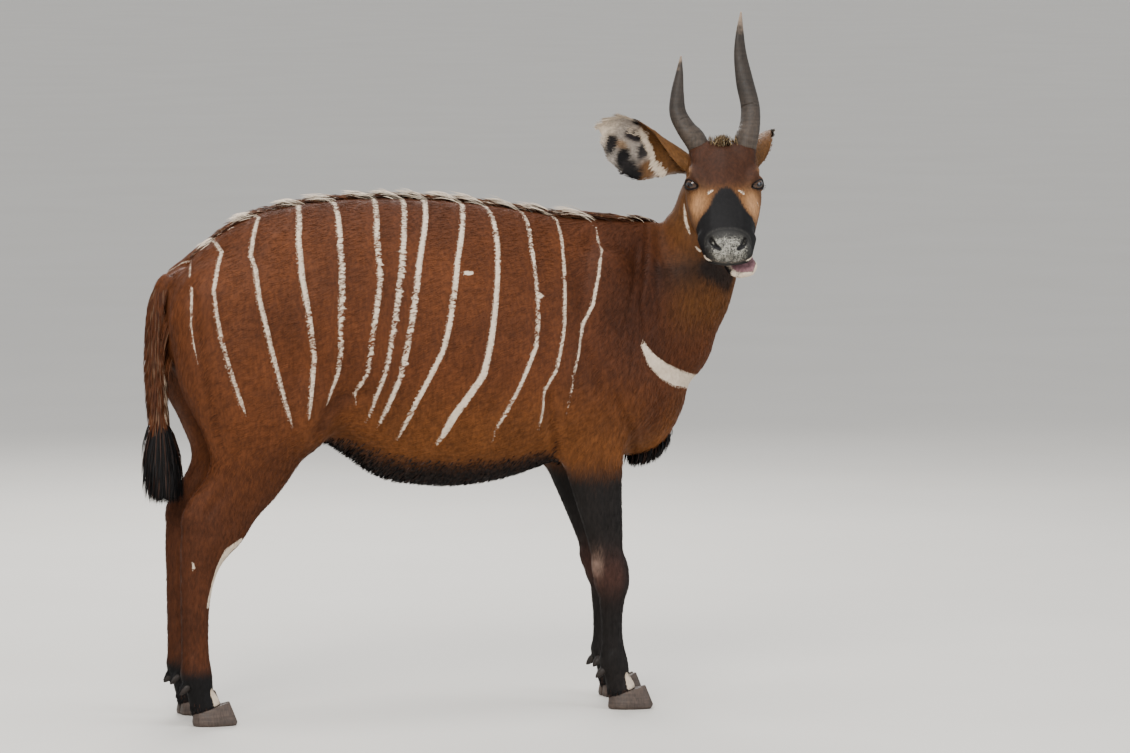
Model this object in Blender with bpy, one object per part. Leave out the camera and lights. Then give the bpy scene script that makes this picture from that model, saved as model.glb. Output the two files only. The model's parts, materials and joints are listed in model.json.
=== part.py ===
"""Female bongo antelope, a still, life-size model standing with its head turned to its right.

Metres, +Z up. X runs forward along the body and Y to the animal's left. While it is modelled,
X = 0 lies half way between the fore and hind feet, and at the end every mesh is moved so that
the origin is the middle of the whole model's box at floor level.
"""

import math
import random

import bmesh
import bpy
import numpy as np
from mathutils import Matrix, Vector
from mathutils.bvhtree import BVHTree

# Driving dimensions
GAP = 0.0003
BODY_VOXEL = 0.007
HEAD_VOXEL = 0.0035
BODY_TRIANGLES = 3600
HEAD_TRIANGLES = 2300
HEAD_YAW = math.radians(-104.5)
HEAD_PITCH = math.radians(38.0)
HEAD_PLACE = Vector((0.766, -0.130, 1.357))
EYE_RADIUS = 0.0205
EYE_PLACE = (0.1020, 0.0712, -0.0356)
EYE_GAZE = (0.50, 0.80, 0.28)
FORE_CUT = 0.605
KNEE_CUT = 0.370
HOCK_CUT = 0.555
HEAD_FRAME = (
    Matrix.Translation(HEAD_PLACE)
    @ Matrix.Rotation(HEAD_YAW, 4, "Z")
    @ Matrix.Rotation(HEAD_PITCH, 4, "Y")
)

# Colours of the coat, horn and hoof, as linear red, green and blue
CHESTNUT = (0.150, 0.045, 0.014)
DARK_CHESTNUT = (0.070, 0.024, 0.012)
BLACK_HAIR = (0.012, 0.011, 0.011)
HORN_GREY = (0.085, 0.070, 0.058)
HOOF_GREY = (0.130, 0.095, 0.075)
EYE_BROWN = (0.020, 0.012, 0.008)
MOUTH_PINK = (0.300, 0.180, 0.190)


def clear_scene():
    for obj in list(bpy.data.objects):
        bpy.data.objects.remove(obj)


def material(name, colour, roughness):
    made = bpy.data.materials.new(name)
    made.use_nodes = True
    shader = made.node_tree.nodes["Principled BSDF"]
    shader.inputs["Base Color"].default_value = (*colour, 1.0)
    shader.inputs["Roughness"].default_value = roughness
    shader.inputs["Metallic"].default_value = 0.0
    return made


def new_object(name, mesh):
    obj = bpy.data.objects.new(name, mesh)
    bpy.context.collection.objects.link(obj)
    return obj


def drop(obj):
    bpy.data.objects.remove(obj)


def smooth_rows(rows, count):
    """Read `count` rows from a smooth curve through the given rows."""
    table = np.array(rows, dtype=float)
    last = len(table) - 1
    padded = np.vstack([2 * table[0] - table[1], table, 2 * table[-1] - table[-2]])
    result = []
    for position in np.linspace(0.0, last, count):
        index = min(int(position), last - 1)
        t = position - index
        before, start, end, after = padded[index:index + 4]
        result.append(0.5 * (
            2 * start
            + (end - before) * t
            + (2 * before - 5 * start + 4 * end - after) * t * t
            + (3 * start - before - 3 * end + after) * t ** 3
        ))
    return np.array(result)


def path_tangents(points):
    tangents = np.gradient(points, axis=0)
    return tangents / np.linalg.norm(tangents, axis=1)[:, None]


def loft(rows, rings, segments, side=(0.0, 1.0, 0.0), power=2.0, facing=None):
    """A closed mesh of rings along a path.

    A row is x, y, z, half width, half height and taper. Width runs along `side`, height
    across it, and a positive taper narrows the upper half and widens the lower one. The rings
    lie square to the path, or all face one way.
    """
    table = smooth_rows(rows, rings)
    centres = table[:, :3]
    tangents = path_tangents(centres) if facing is None else np.tile(facing, (rings, 1))
    mesh = bmesh.new()
    loops = []
    for centre, tangent, (width, height, taper) in zip(centres, tangents, table[:, 3:6]):
        across = np.array(side) - tangent * np.dot(side, tangent)
        across /= np.linalg.norm(across)
        upward = np.cross(tangent, across)
        ring = []
        for step in range(segments):
            angle = 2 * math.pi * step / segments
            c, s = math.cos(angle), math.sin(angle)
            u = math.copysign(abs(c) ** (2 / power), c)
            v = math.copysign(abs(s) ** (2 / power), s)
            spot = centre + across * width * u * (1 - taper * v) + upward * height * v
            ring.append(mesh.verts.new(spot))
        loops.append(ring)
    for low, high in zip(loops, loops[1:]):
        for step in range(segments):
            following = (step + 1) % segments
            mesh.faces.new((low[step], low[following], high[following], high[step]))
    mesh.faces.new(list(reversed(loops[0])))
    mesh.faces.new(loops[-1])
    bmesh.ops.recalc_face_normals(mesh, faces=mesh.faces)
    return finish_mesh(mesh)


def ellipsoid(centre, radii, turn=(0.0, 0.0, 0.0), detail=3):
    """A closed ellipsoid, turned by degrees about X, Y and Z."""
    mesh = bmesh.new()
    bmesh.ops.create_icosphere(mesh, subdivisions=detail, radius=1.0)
    place = Matrix.Translation(centre)
    for axis, degrees in zip("ZYX", reversed(turn)):
        place = place @ Matrix.Rotation(math.radians(degrees), 4, axis)
    place = place @ Matrix.Diagonal((*radii, 1.0))
    bmesh.ops.transform(mesh, matrix=place, verts=mesh.verts)
    return finish_mesh(mesh)


def finish_mesh(mesh):
    made = bpy.data.meshes.new("shape")
    mesh.to_mesh(made)
    mesh.free()
    return made


def mirrored(mesh):
    """A copy on the animal's other side."""
    work = bmesh.new()
    work.from_mesh(mesh)
    bmesh.ops.transform(work, matrix=Matrix.Diagonal((1.0, -1.0, 1.0, 1.0)), verts=work.verts)
    bmesh.ops.reverse_faces(work, faces=work.faces)
    return finish_mesh(work)


def both_sides(meshes):
    return [copy for mesh in meshes for copy in (mesh, mirrored(mesh))]


def moved(mesh, matrix):
    mesh.transform(matrix)
    return mesh


def joined(name, meshes):
    work = bmesh.new()
    for mesh in meshes:
        work.from_mesh(mesh)
    return new_object(name, finish_mesh(work))


def bake(obj):
    """Replace an object's mesh by the mesh its modifiers make."""
    graph = bpy.context.evaluated_depsgraph_get()
    made = bpy.data.meshes.new_from_object(obj.evaluated_get(graph))
    obj.modifiers.clear()
    obj.data = made


def fuse(name, meshes, voxel, smoothing, triangles):
    """Fuse overlapping closed shapes on a fine grid, soften the creases and thin the faces out."""
    obj = joined(name, meshes)
    remesh = obj.modifiers.new("fuse", "REMESH")
    remesh.mode = "VOXEL"
    remesh.voxel_size = voxel
    soften = obj.modifiers.new("soften", "SMOOTH")
    soften.factor = 0.5
    soften.iterations = smoothing
    bake(obj)
    faces = sum(len(face.vertices) - 2 for face in obj.data.polygons)
    thin = obj.modifiers.new("thin", "DECIMATE")
    thin.ratio = triangles / faces
    bake(obj)
    return obj


def boolean(target, cutter, operation, solver="EXACT"):
    change = target.modifiers.new("boolean", "BOOLEAN")
    change.operation = operation
    change.solver = solver
    change.object = cutter
    bake(target)
    keep_largest(target)


def keep_largest(obj):
    """Keep only the largest closed surface of an object."""
    work = bmesh.new()
    work.from_mesh(obj.data)
    work.verts.ensure_lookup_table()
    seen = set()
    shells = []
    for start in work.verts:
        if start.index in seen:
            continue
        seen.add(start.index)
        shell = [start]
        for vert in shell:
            for edge in vert.link_edges:
                other = edge.other_vert(vert)
                if other.index not in seen:
                    seen.add(other.index)
                    shell.append(other)
        shells.append(shell)
    shells.sort(key=len)
    loose = [vert for shell in shells[:-1] for vert in shell]
    bmesh.ops.delete(work, geom=loose, context="VERTS")
    bmesh.ops.recalc_face_normals(work, faces=work.faces)
    work.to_mesh(obj.data)
    work.free()


def copy_of(obj, name):
    return new_object(name, obj.data.copy())


def grown(obj, distance):
    """A copy whose every face lies `distance` further out."""
    work = bmesh.new()
    work.from_mesh(obj.data)
    work.normal_update()
    steps = [vert.normal * distance * min(vert.calc_shell_factor(), 2.0) for vert in work.verts]
    for vert, step in zip(work.verts, steps):
        vert.co += step
    made = new_object(obj.name + "_grown", finish_mesh(work))
    return made


def seat(piece, base):
    """Cut a piece back to where it meets the surface of what it grows from."""
    cutter = grown(base, GAP * 1.2)
    boolean(piece, cutter, "DIFFERENCE")
    drop(cutter)


def slab(corners_low, corners_high):
    """A closed block from four low corners and four high ones, both anticlockwise from above."""
    mesh = bmesh.new()
    low = [mesh.verts.new(corner) for corner in corners_low]
    high = [mesh.verts.new(corner) for corner in corners_high]
    mesh.faces.new(list(reversed(low)))
    mesh.faces.new(high)
    for step in range(4):
        following = (step + 1) % 4
        mesh.faces.new((low[step], low[following], high[following], high[step]))
    return new_object("cutter", finish_mesh(mesh))


def halved(obj, point, normal):
    """Keep the side of a plane that its normal points away from, and close the cut."""
    work = bmesh.new()
    work.from_mesh(obj.data)
    everything = work.verts[:] + work.edges[:] + work.faces[:]
    bmesh.ops.bisect_plane(
        work, geom=everything, dist=1e-6, plane_co=point, plane_no=normal, clear_outer=True
    )
    rim = [edge for edge in work.edges if edge.is_boundary]
    bmesh.ops.holes_fill(work, edges=rim, sides=0)
    bmesh.ops.recalc_face_normals(work, faces=work.faces)
    work.to_mesh(obj.data)
    work.free()


# The trunk: x, top and bottom of the skin, half width and taper
TRUNK = [
    (-0.574, 1.035, 0.880, 0.090, 0.1),
    (-0.545, 1.075, 0.840, 0.130, 0.1),
    (-0.500, 1.120, 0.790, 0.156, 0.1),
    (-0.420, 1.178, 0.735, 0.176, 0.1),
    (-0.330, 1.217, 0.715, 0.188, 0.1),
    (-0.240, 1.233, 0.690, 0.197, 0.1),
    (-0.150, 1.240, 0.645, 0.209, 0.1),
    (-0.050, 1.242, 0.577, 0.222, 0.1),
    (0.050, 1.238, 0.556, 0.231, 0.12),
    (0.150, 1.229, 0.552, 0.230, 0.15),
    (0.250, 1.215, 0.565, 0.217, 0.2),
    (0.340, 1.199, 0.592, 0.196, 0.3),
    (0.420, 1.185, 0.614, 0.172, 0.38),
    (0.500, 1.181, 0.620, 0.150, 0.4),
    (0.570, 1.172, 0.610, 0.135, 0.3),
    (0.630, 1.140, 0.622, 0.115, 0.2),
    (0.680, 1.060, 0.680, 0.085, 0.1),
    (0.710, 0.960, 0.760, 0.040, 0.0),
]


def trunk():
    rows = [
        (x, 0.0, (top + bottom) / 2, half_width, (top - bottom) / 2, taper)
        for x, top, bottom, half_width, taper in TRUNK
    ]
    return loft(rows, 56, 40, power=2.15, facing=(1.0, 0.0, 0.0))


def shoulder_and_haunch():
    """Muscle masses of one side: the shoulder blade, upper arm, hip, thigh and buttock."""
    return [
        ellipsoid((0.450, 0.090, 0.920), (0.120, 0.064, 0.200), (0, 14, 0)),
        ellipsoid((0.500, 0.104, 0.790), (0.110, 0.062, 0.140), (0, -20, 0)),
        ellipsoid((0.440, 0.112, 0.690), (0.090, 0.052, 0.130), (0, 10, 0)),
        ellipsoid((-0.330, 0.092, 0.990), (0.170, 0.090, 0.150), (0, 0, 0)),
        ellipsoid((-0.455, 0.096, 0.970), (0.128, 0.074, 0.140), (0, 8, 0)),
        ellipsoid((-0.470, 0.102, 0.850), (0.100, 0.070, 0.160), (0, -12, 0)),
        ellipsoid((-0.260, 0.118, 0.790), (0.100, 0.076, 0.170), (0, 20, 0)),
    ]


def chest():
    return [
        ellipsoid((0.645, 0.0, 0.905), (0.142, 0.118, 0.150)),
        ellipsoid((0.595, 0.0, 0.780), (0.120, 0.120, 0.150)),
        ellipsoid((0.585, 0.0, 0.690), (0.098, 0.085, 0.090)),
    ]


# The neck's middle line from inside the chest to inside the head
NECK = [
    (0.480, 0.000, 0.960, 0.120, 0.190, 0.1),
    (0.600, 0.000, 0.975, 0.118, 0.170, 0.1),
    (0.685, -0.010, 0.995, 0.108, 0.142, 0.0),
    (0.733, -0.030, 1.065, 0.095, 0.105, 0.0),
    (0.752, -0.046, 1.140, 0.086, 0.090, 0.0),
    (0.765, -0.056, 1.215, 0.080, 0.083, 0.0),
    (0.780, -0.070, 1.280, 0.070, 0.072, 0.0),
    (0.775, -0.095, 1.310, 0.050, 0.050, 0.0),
]


def neck():
    return loft(NECK, 36, 28)


# Legs of the animal's left side, going down: x, y, z, half width and half depth fore and aft
FORELEG = [
    (0.455, 0.112, 0.760, 0.050, 0.085, 0.0),
    (0.450, 0.114, 0.680, 0.048, 0.083, 0.0),
    (0.449, 0.114, 0.620, 0.045, 0.076, 0.0),
    (0.455, 0.113, 0.560, 0.041, 0.066, 0.0),
    (0.465, 0.111, 0.500, 0.038, 0.056, 0.0),
    (0.476, 0.110, 0.440, 0.034, 0.048, 0.0),
    (0.485, 0.109, 0.385, 0.031, 0.042, 0.0),
    (0.492, 0.108, 0.340, 0.033, 0.042, 0.0),
    (0.495, 0.108, 0.305, 0.034, 0.041, 0.0),
    (0.496, 0.108, 0.270, 0.028, 0.031, 0.0),
    (0.496, 0.108, 0.220, 0.024, 0.025, 0.0),
    (0.498, 0.108, 0.165, 0.024, 0.026, 0.0),
    (0.502, 0.108, 0.120, 0.030, 0.034, 0.0),
    (0.510, 0.108, 0.085, 0.027, 0.031, 0.0),
    (0.520, 0.108, 0.055, 0.030, 0.034, 0.0),
    (0.529, 0.108, 0.020, 0.030, 0.034, 0.0),
]
HINDLEG = [
    (-0.380, 0.105, 0.940, 0.078, 0.170, 0.0),
    (-0.385, 0.112, 0.830, 0.080, 0.163, 0.0),
    (-0.378, 0.114, 0.740, 0.074, 0.150, 0.0),
    (-0.385, 0.112, 0.660, 0.060, 0.122, 0.0),
    (-0.405, 0.108, 0.595, 0.047, 0.093, 0.0),
    (-0.440, 0.104, 0.545, 0.040, 0.080, 0.0),
    (-0.471, 0.102, 0.500, 0.035, 0.083, 0.0),
    (-0.487, 0.101, 0.465, 0.033, 0.077, 0.0),
    (-0.505, 0.100, 0.425, 0.031, 0.060, 0.0),
    (-0.518, 0.100, 0.375, 0.027, 0.045, 0.0),
    (-0.526, 0.100, 0.310, 0.025, 0.036, 0.0),
    (-0.528, 0.100, 0.240, 0.025, 0.033, 0.0),
    (-0.527, 0.100, 0.170, 0.026, 0.033, 0.0),
    (-0.523, 0.100, 0.125, 0.031, 0.037, 0.0),
    (-0.515, 0.100, 0.085, 0.028, 0.032, 0.0),
    (-0.503, 0.100, 0.055, 0.031, 0.036, 0.0),
    (-0.495, 0.100, 0.020, 0.031, 0.036, 0.0),
]
# How far forward each left and right leg stands of the table's place
LEG_SHIFT = {"fore_left": 0.046, "fore_right": 0.0, "hind_left": 0.014, "hind_right": 0.0}
# Degrees that the toes turn out
TOE_OUT = {"fore_left": 6.0, "fore_right": 24.0, "hind_left": 8.0, "hind_right": 12.0}


def leg_rows(which, table):
    """The rows of one leg: its lower end stands forward by its shift, fading out at the trunk."""
    end, side = which.split("_")
    flip = 1.0 if side == "left" else -1.0
    top = table[0][2]
    rows = []
    for x, y, z, width, depth, taper in table:
        share = min(1.0, (top - z) / (top - 0.30))
        rows.append((x + LEG_SHIFT[which] * share, y * flip, z, width, depth, taper))
    return rows


def upper_leg(which, table):
    return loft(leg_rows(which, table), 48, 20)


def lower_leg(which, table, top):
    """The leg below a level cut, down to the slanted top of the hoofs."""
    obj = new_object(f"{which}_lower", loft(leg_rows(which, table), 28, 10))
    halved(obj, (0, 0, top - GAP / 2), (0, 0, 1))
    crown, normal = coronet(which)
    halved(obj, crown + normal * GAP / 2, -normal)
    return obj


FLOOR = 0.008
HOOF_LENGTH = 0.108
HOOF_WIDTH = 0.038
CORONET_HEIGHT = 0.040
CORONET_SLOPE = math.radians(18.0)


def foot_place(which):
    """Where the middle of a foot stands and the way its toes point."""
    table = FORELEG if which.startswith("fore") else HINDLEG
    x, y, _, _, _, _ = leg_rows(which, table)[-1]
    turn = math.radians(TOE_OUT[which]) * (1 if which.endswith("left") else -1)
    return Vector((x, y, FLOOR)), turn


def coronet(which):
    """A point and the normal of the slanted plane where hoof and skin meet."""
    place, turn = foot_place(which)
    forward = Vector((math.cos(turn), math.sin(turn), 0.0))
    normal = Vector((0, 0, 1)) * math.cos(CORONET_SLOPE) - forward * math.sin(CORONET_SLOPE)
    return place + Vector((0, 0, CORONET_HEIGHT)), normal


def toe_outline(scale, back):
    """Half a hoof from above, heel to tip, with a nearly straight inner side."""
    length = HOOF_LENGTH * scale
    width = HOOF_WIDTH * scale
    heel = -0.36 * HOOF_LENGTH + back
    shape = [
        (0.00, 0.12), (0.02, 0.62), (0.16, 0.98), (0.42, 1.00), (0.68, 0.80),
        (0.88, 0.46), (1.00, 0.16), (0.97, 0.02), (0.60, 0.00), (0.25, 0.00),
    ]
    return [(heel + along * length, across * width) for along, across in shape]


def toe(which, inner):
    """One horn-covered toe: a flat sole, a steep wall and a slanted top."""
    place, turn = foot_place(which)
    crown, normal = coronet(which)
    outward = 1.0 if which.endswith("left") else -1.0
    across_sign = -outward if inner else outward
    splay = math.radians(4.0) * across_sign
    mesh = bmesh.new()
    rings = []
    for scale, back, height in ((0.94, 0.002, 0.0), (1.0, 0.0, 0.007), (0.80, 0.002, None)):
        ring = []
        for along, across in toe_outline(scale, back):
            spot = Vector((along, (0.002 + across) * across_sign, 0.0))
            spot.rotate(Matrix.Rotation(turn + splay, 3, "Z"))
            spot += place
            if height is None:
                crown_height = crown.z - normal.dot(Vector((spot.x, spot.y, crown.z)) - crown) / normal.z
                spot.z = max(crown_height - GAP / 2, FLOOR + 0.016)
            else:
                spot.z = FLOOR + height
            ring.append(mesh.verts.new(spot))
        rings.append(ring)
    count = len(rings[0])
    for low, high in zip(rings, rings[1:]):
        for step in range(count):
            following = (step + 1) % count
            mesh.faces.new((low[step], low[following], high[following], high[step]))
    mesh.faces.new(list(reversed(rings[0])))
    mesh.faces.new(rings[-1])
    bmesh.ops.recalc_face_normals(mesh, faces=mesh.faces)
    position = "inner" if inner else "outer"
    return new_object(f"hoof_{which}_{position}", finish_mesh(mesh))


# The skull and muzzle in the head's own frame: x towards the nose, top, bottom, half width, taper
SKULL = [
    (-0.070, -0.045, -0.105, 0.030, 0.0),
    (-0.050, -0.020, -0.135, 0.055, 0.0),
    (-0.010, 0.000, -0.158, 0.075, 0.0),
    (0.035, 0.010, -0.166, 0.086, 0.0),
    (0.080, 0.009, -0.165, 0.088, 0.04),
    (0.125, -0.002, -0.158, 0.087, 0.06),
    (0.170, -0.014, -0.146, 0.078, 0.06),
    (0.215, -0.023, -0.131, 0.070, 0.0),
    (0.258, -0.029, -0.117, 0.061, -0.04),
    (0.295, -0.033, -0.108, 0.053, 0.0),
    (0.320, -0.041, -0.101, 0.046, 0.0),
    (0.334, -0.054, -0.092, 0.030, 0.0),
]


def skull_rows():
    return [
        (x, 0.0, (top + bottom) / 2, half_width, (top - bottom) / 2, taper)
        for x, top, bottom, half_width, taper in SKULL
    ]


def head():
    eye_spot, gaze = Vector(EYE_PLACE), Vector(EYE_GAZE).normalized()
    brow = eye_spot - gaze * 0.014 + Vector((-0.006, 0.0, 0.020))
    side = [
        ellipsoid(eye_spot - gaze * 0.016, (0.032, 0.028, 0.028), (0, 0, -20)),
        ellipsoid(brow, (0.040, 0.022, 0.014), (20, 0, -14)),
        ellipsoid((0.105, 0.052, -0.118), (0.060, 0.024, 0.042), (0, 14, -6)),
        ellipsoid((0.306, 0.028, -0.064), (0.026, 0.024, 0.026)),
        ellipsoid((-0.004, 0.058, -0.062), (0.034, 0.030, 0.034)),
        ellipsoid((0.000, 0.054, -0.014), (0.034, 0.028, 0.022)),
        ellipsoid((0.034, 0.044, -0.008), (0.050, 0.034, 0.017), (0, 10, 0)),
    ]
    shapes = [loft(skull_rows(), 44, 28, power=2.25)] + both_sides(side)
    obj = fuse("head", shapes, HEAD_VOXEL, 10, HEAD_TRIANGLES)
    return obj


def eye(side):
    x, y, z = EYE_PLACE
    flip = 1 if side == "left" else -1
    return new_object(f"eye_{side}", ellipsoid((x, y * flip, z), (EYE_RADIUS,) * 3, detail=2))


LID_THICKNESS = 0.0038
LID_OPENING = (0.0175, 0.0120)


def eye_frame(side):
    """The eye's own frame: x to its inner corner, y up over the lid, z the way it looks."""
    flip = 1 if side == "left" else -1
    place = Vector((EYE_PLACE[0], EYE_PLACE[1] * flip, EYE_PLACE[2]))
    gaze = Vector((EYE_GAZE[0], EYE_GAZE[1] * flip, EYE_GAZE[2])).normalized()
    corner = Vector((0.80, -0.50 * flip, -0.30))
    corner = (corner - gaze * corner.dot(gaze)).normalized()
    upward = gaze.cross(corner) * flip
    turn = Matrix((corner, upward, gaze)).transposed().to_4x4()
    return Matrix.Translation(place) @ turn


def lids(side):
    """Both lids: a round fold of skin over the eyeball, and the almond that opens in it."""
    frame = eye_frame(side)
    fold = ellipsoid((0, 0, 0), (EYE_RADIUS + LID_THICKNESS,) * 3, detail=2)
    half_length, half_height = LID_OPENING
    sides = 14
    mesh = bmesh.new()
    rings = []
    for level, scale in ((0.0, 0.85), (EYE_RADIUS + 2 * LID_THICKNESS, 1.15)):
        ring = []
        for step in range(sides):
            angle = 2 * math.pi * step / sides
            along = math.cos(angle)
            high = math.copysign(abs(math.sin(angle)) ** 1.25, math.sin(angle))
            ring.append(mesh.verts.new((
                half_length * scale * along, half_height * scale * high, level
            )))
        rings.append(ring)
    for step in range(sides):
        following = (step + 1) % sides
        mesh.faces.new((rings[0][step], rings[0][following], rings[1][following], rings[1][step]))
    mesh.faces.new(list(reversed(rings[0])))
    mesh.faces.new(rings[1])
    opening = moved(finish_mesh(mesh), frame)
    work = bmesh.new()
    work.from_mesh(opening)
    bmesh.ops.recalc_face_normals(work, faces=work.faces)
    return new_object("fold", moved(fold, frame)), new_object("opening", finish_mesh(work))


def nostril(side):
    """The hollow of one nostril."""
    flip = 1 if side == "left" else -1
    shape = ellipsoid(
        (0.318, 0.029 * flip, -0.056), (0.015, 0.0065, 0.009), (0, 38, -28 * flip), detail=1
    )
    return new_object("nostril", shape)


# The mouth's corner and where its line leaves the front of the lips, in the head's frame
MOUTH_CORNER = (0.232, -0.092)
MOUTH_FRONT = (0.345, -0.097)


def mouth_cutter():
    """The space of the lower jaw: below the mouth's line and ahead of its corner."""
    corner_x, corner_z = MOUTH_CORNER
    front_x, front_z = MOUTH_FRONT
    reach = front_x + 0.06
    half = 0.09
    low = [
        (corner_x - 0.030, -half, -0.20), (reach, -half, -0.20),
        (reach, half, -0.20), (corner_x - 0.030, half, -0.20),
    ]
    high = [
        (corner_x, -half, corner_z), (reach, -half, front_z),
        (reach, half, front_z), (corner_x, half, corner_z),
    ]
    return slab(low, high)


def lower_jaw():
    """The front of the lower jaw, dropped open and swung to the animal's left as it chews."""
    rows = [
        (0.190, 0.002, -0.124, 0.046, 0.026, 0.0),
        (0.225, 0.010, -0.119, 0.043, 0.021, 0.0),
        (0.260, 0.020, -0.118, 0.039, 0.017, 0.0),
        (0.288, 0.029, -0.122, 0.037, 0.015, 0.0),
        (0.310, 0.036, -0.125, 0.034, 0.013, 0.0),
        (0.324, 0.040, -0.126, 0.020, 0.007, 0.0),
    ]
    return new_object("lower_jaw", loft(rows, 10, 12))


def tongue():
    rows = [
        (0.235, 0.012, -0.104, 0.020, 0.006, 0.0),
        (0.262, 0.020, -0.104, 0.021, 0.006, 0.0),
        (0.290, 0.030, -0.110, 0.019, 0.005, 0.0),
        (0.308, 0.036, -0.115, 0.010, 0.003, 0.0),
    ]
    return new_object("tongue", loft(rows, 6, 8))


# Horn middle lines in the head's frame: x back is negative, radius last
HORN_LEFT = [
    (0.030, 0.036, -0.060, 0.016), (0.010, 0.046, -0.030, 0.027), (-0.012, 0.057, 0.003, 0.029),
    (-0.042, 0.068, 0.026, 0.0235),
    (-0.090, 0.071, 0.045, 0.0205), (-0.150, 0.060, 0.070, 0.0195), (-0.210, 0.050, 0.105, 0.0150),
    (-0.255, 0.049, 0.140, 0.0095), (-0.290, 0.052, 0.172, 0.0020),
]
HORN_RIGHT = [
    (0.030, -0.030, -0.060, 0.016), (0.010, -0.044, -0.030, 0.026), (-0.013, -0.065, 0.002, 0.027),
    (-0.034, -0.088, 0.022, 0.0225),
    (-0.070, -0.107, 0.040, 0.0185), (-0.112, -0.107, 0.062, 0.0150), (-0.156, -0.100, 0.090, 0.0095),
    (-0.192, -0.095, 0.116, 0.0020),
]
HORN_TWIST = math.radians(160.0)


def horn(side, table):
    """A half-twisted horn of oval section with a keel along it."""
    rows = smooth_rows(table, 14)
    centres = rows[:, :3]
    tangents = path_tangents(centres)
    flip = 1 if side == "left" else -1
    segments = 9
    mesh = bmesh.new()
    loops = []
    for index, (centre, tangent, radius) in enumerate(zip(centres, tangents, rows[:, 3])):
        across = np.cross(tangent, (0.0, 1.0, 0.0))
        across /= np.linalg.norm(across)
        sideways = np.cross(tangent, across)
        turn = flip * HORN_TWIST * index / (len(rows) - 1)
        ring = []
        for step in range(segments):
            angle = 2 * math.pi * step / segments
            keel = 1.0 + 0.22 * max(0.0, math.cos(angle)) ** 3
            u = math.cos(angle) * keel
            v = math.sin(angle) * 0.90
            c, s = math.cos(turn), math.sin(turn)
            spot = centre + radius * (across * (u * c - v * s) + sideways * (u * s + v * c))
            ring.append(mesh.verts.new(spot))
        loops.append(ring)
    for low, high in zip(loops, loops[1:]):
        for step in range(segments):
            following = (step + 1) % segments
            mesh.faces.new((low[step], low[following], high[following], high[step]))
    mesh.faces.new(list(reversed(loops[0])))
    mesh.faces.new(loops[-1])
    bmesh.ops.recalc_face_normals(mesh, faces=mesh.faces)
    return new_object(f"horn_{side}", finish_mesh(mesh))


# The ear from root to tip: share of its length, half width along the skin, half angle of its
# roll and the turn of its opening, both in degrees
EAR_LENGTH = 0.250
EAR_THICKNESS = 0.005
EAR_LOBE = 0.55
EAR_SHAPE = [
    (0.00, 0.050, 158.0, -70.0), (0.15, 0.060, 128.0, -55.0), (0.32, 0.070, 94.0, -36.0),
    (0.50, 0.076, 66.0, -18.0), (0.68, 0.072, 54.0, -6.0), (0.84, 0.057, 44.0, 0.0),
    (0.95, 0.034, 36.0, 0.0), (1.00, 0.012, 30.0, 0.0),
]


def ear_spot(share, across, depth, flip):
    """A point of the ear in its own frame: x to the tip, z the way the cup opens."""
    shares, halves, rolls, turns = zip(*EAR_SHAPE)
    half = np.interp(share, shares, halves)
    half *= 1 + EAR_LOBE * math.sin(math.pi * share) * max(0.0, across)
    roll = math.radians(np.interp(share, shares, rolls))
    turn = math.radians(np.interp(share, shares, turns))
    radius = half / roll
    angle = roll * across
    middle = radius * (1 + math.cos(roll)) / 2
    y = (radius - depth) * math.sin(angle)
    z = middle - (radius - depth) * math.cos(angle) - 0.012 * math.sin(math.pi * share)
    y, z = y * math.cos(turn) - z * math.sin(turn), y * math.sin(turn) + z * math.cos(turn)
    return (EAR_LENGTH * share, y * flip, z)


def ear(side):
    """A cupped, leaf-shaped ear: a rolled tube at its root that opens towards its tip."""
    columns = 8
    flip = 1 if side == "right" else -1
    shares = [row[0] for row in EAR_SHAPE]
    mesh = bmesh.new()
    outer, inner = [
        [
            [
                mesh.verts.new(ear_spot(share, 2 * j / columns - 1, depth, flip))
                for j in range(columns + 1)
            ]
            for share in shares
        ]
        for depth in (0.0, EAR_THICKNESS)
    ]
    last = len(shares) - 1
    for i in range(last):
        for j in range(columns):
            mesh.faces.new((outer[i][j], outer[i][j + 1], outer[i + 1][j + 1], outer[i + 1][j]))
            mesh.faces.new((inner[i][j], inner[i + 1][j], inner[i + 1][j + 1], inner[i][j + 1]))
        for j in (0, columns):
            mesh.faces.new((outer[i][j], outer[i + 1][j], inner[i + 1][j], inner[i][j]))
    for i in (0, last):
        for j in range(columns):
            mesh.faces.new((outer[i][j], outer[i][j + 1], inner[i][j + 1], inner[i][j]))
    bmesh.ops.recalc_face_normals(mesh, faces=mesh.faces)
    bmesh.ops.triangulate(mesh, faces=mesh.faces)
    return new_object(f"ear_{side}", finish_mesh(mesh))


def ear_frame(root, tip, opening):
    """Ear's own frame: x from root to tip, z the way that its cup opens."""
    along = (Vector(tip) - Vector(root)).normalized()
    face = Vector(opening)
    face = (face - along * face.dot(along)).normalized()
    across = face.cross(along)
    turn = Matrix((along, across, face)).transposed().to_4x4()
    return Matrix.Translation(root) @ turn


# Each ear's root, a point it aims at and the way its cup opens, in the head's frame
EAR_RIGHT_FRAME = ((0.010, -0.058, -0.072), (-0.090, -0.268, -0.030), (0.88, -0.30, 0.34))
EAR_LEFT_FRAME = ((0.004, 0.056, -0.066), (-0.190, 0.112, -0.135), (-0.35, 0.90, 0.20))

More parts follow.
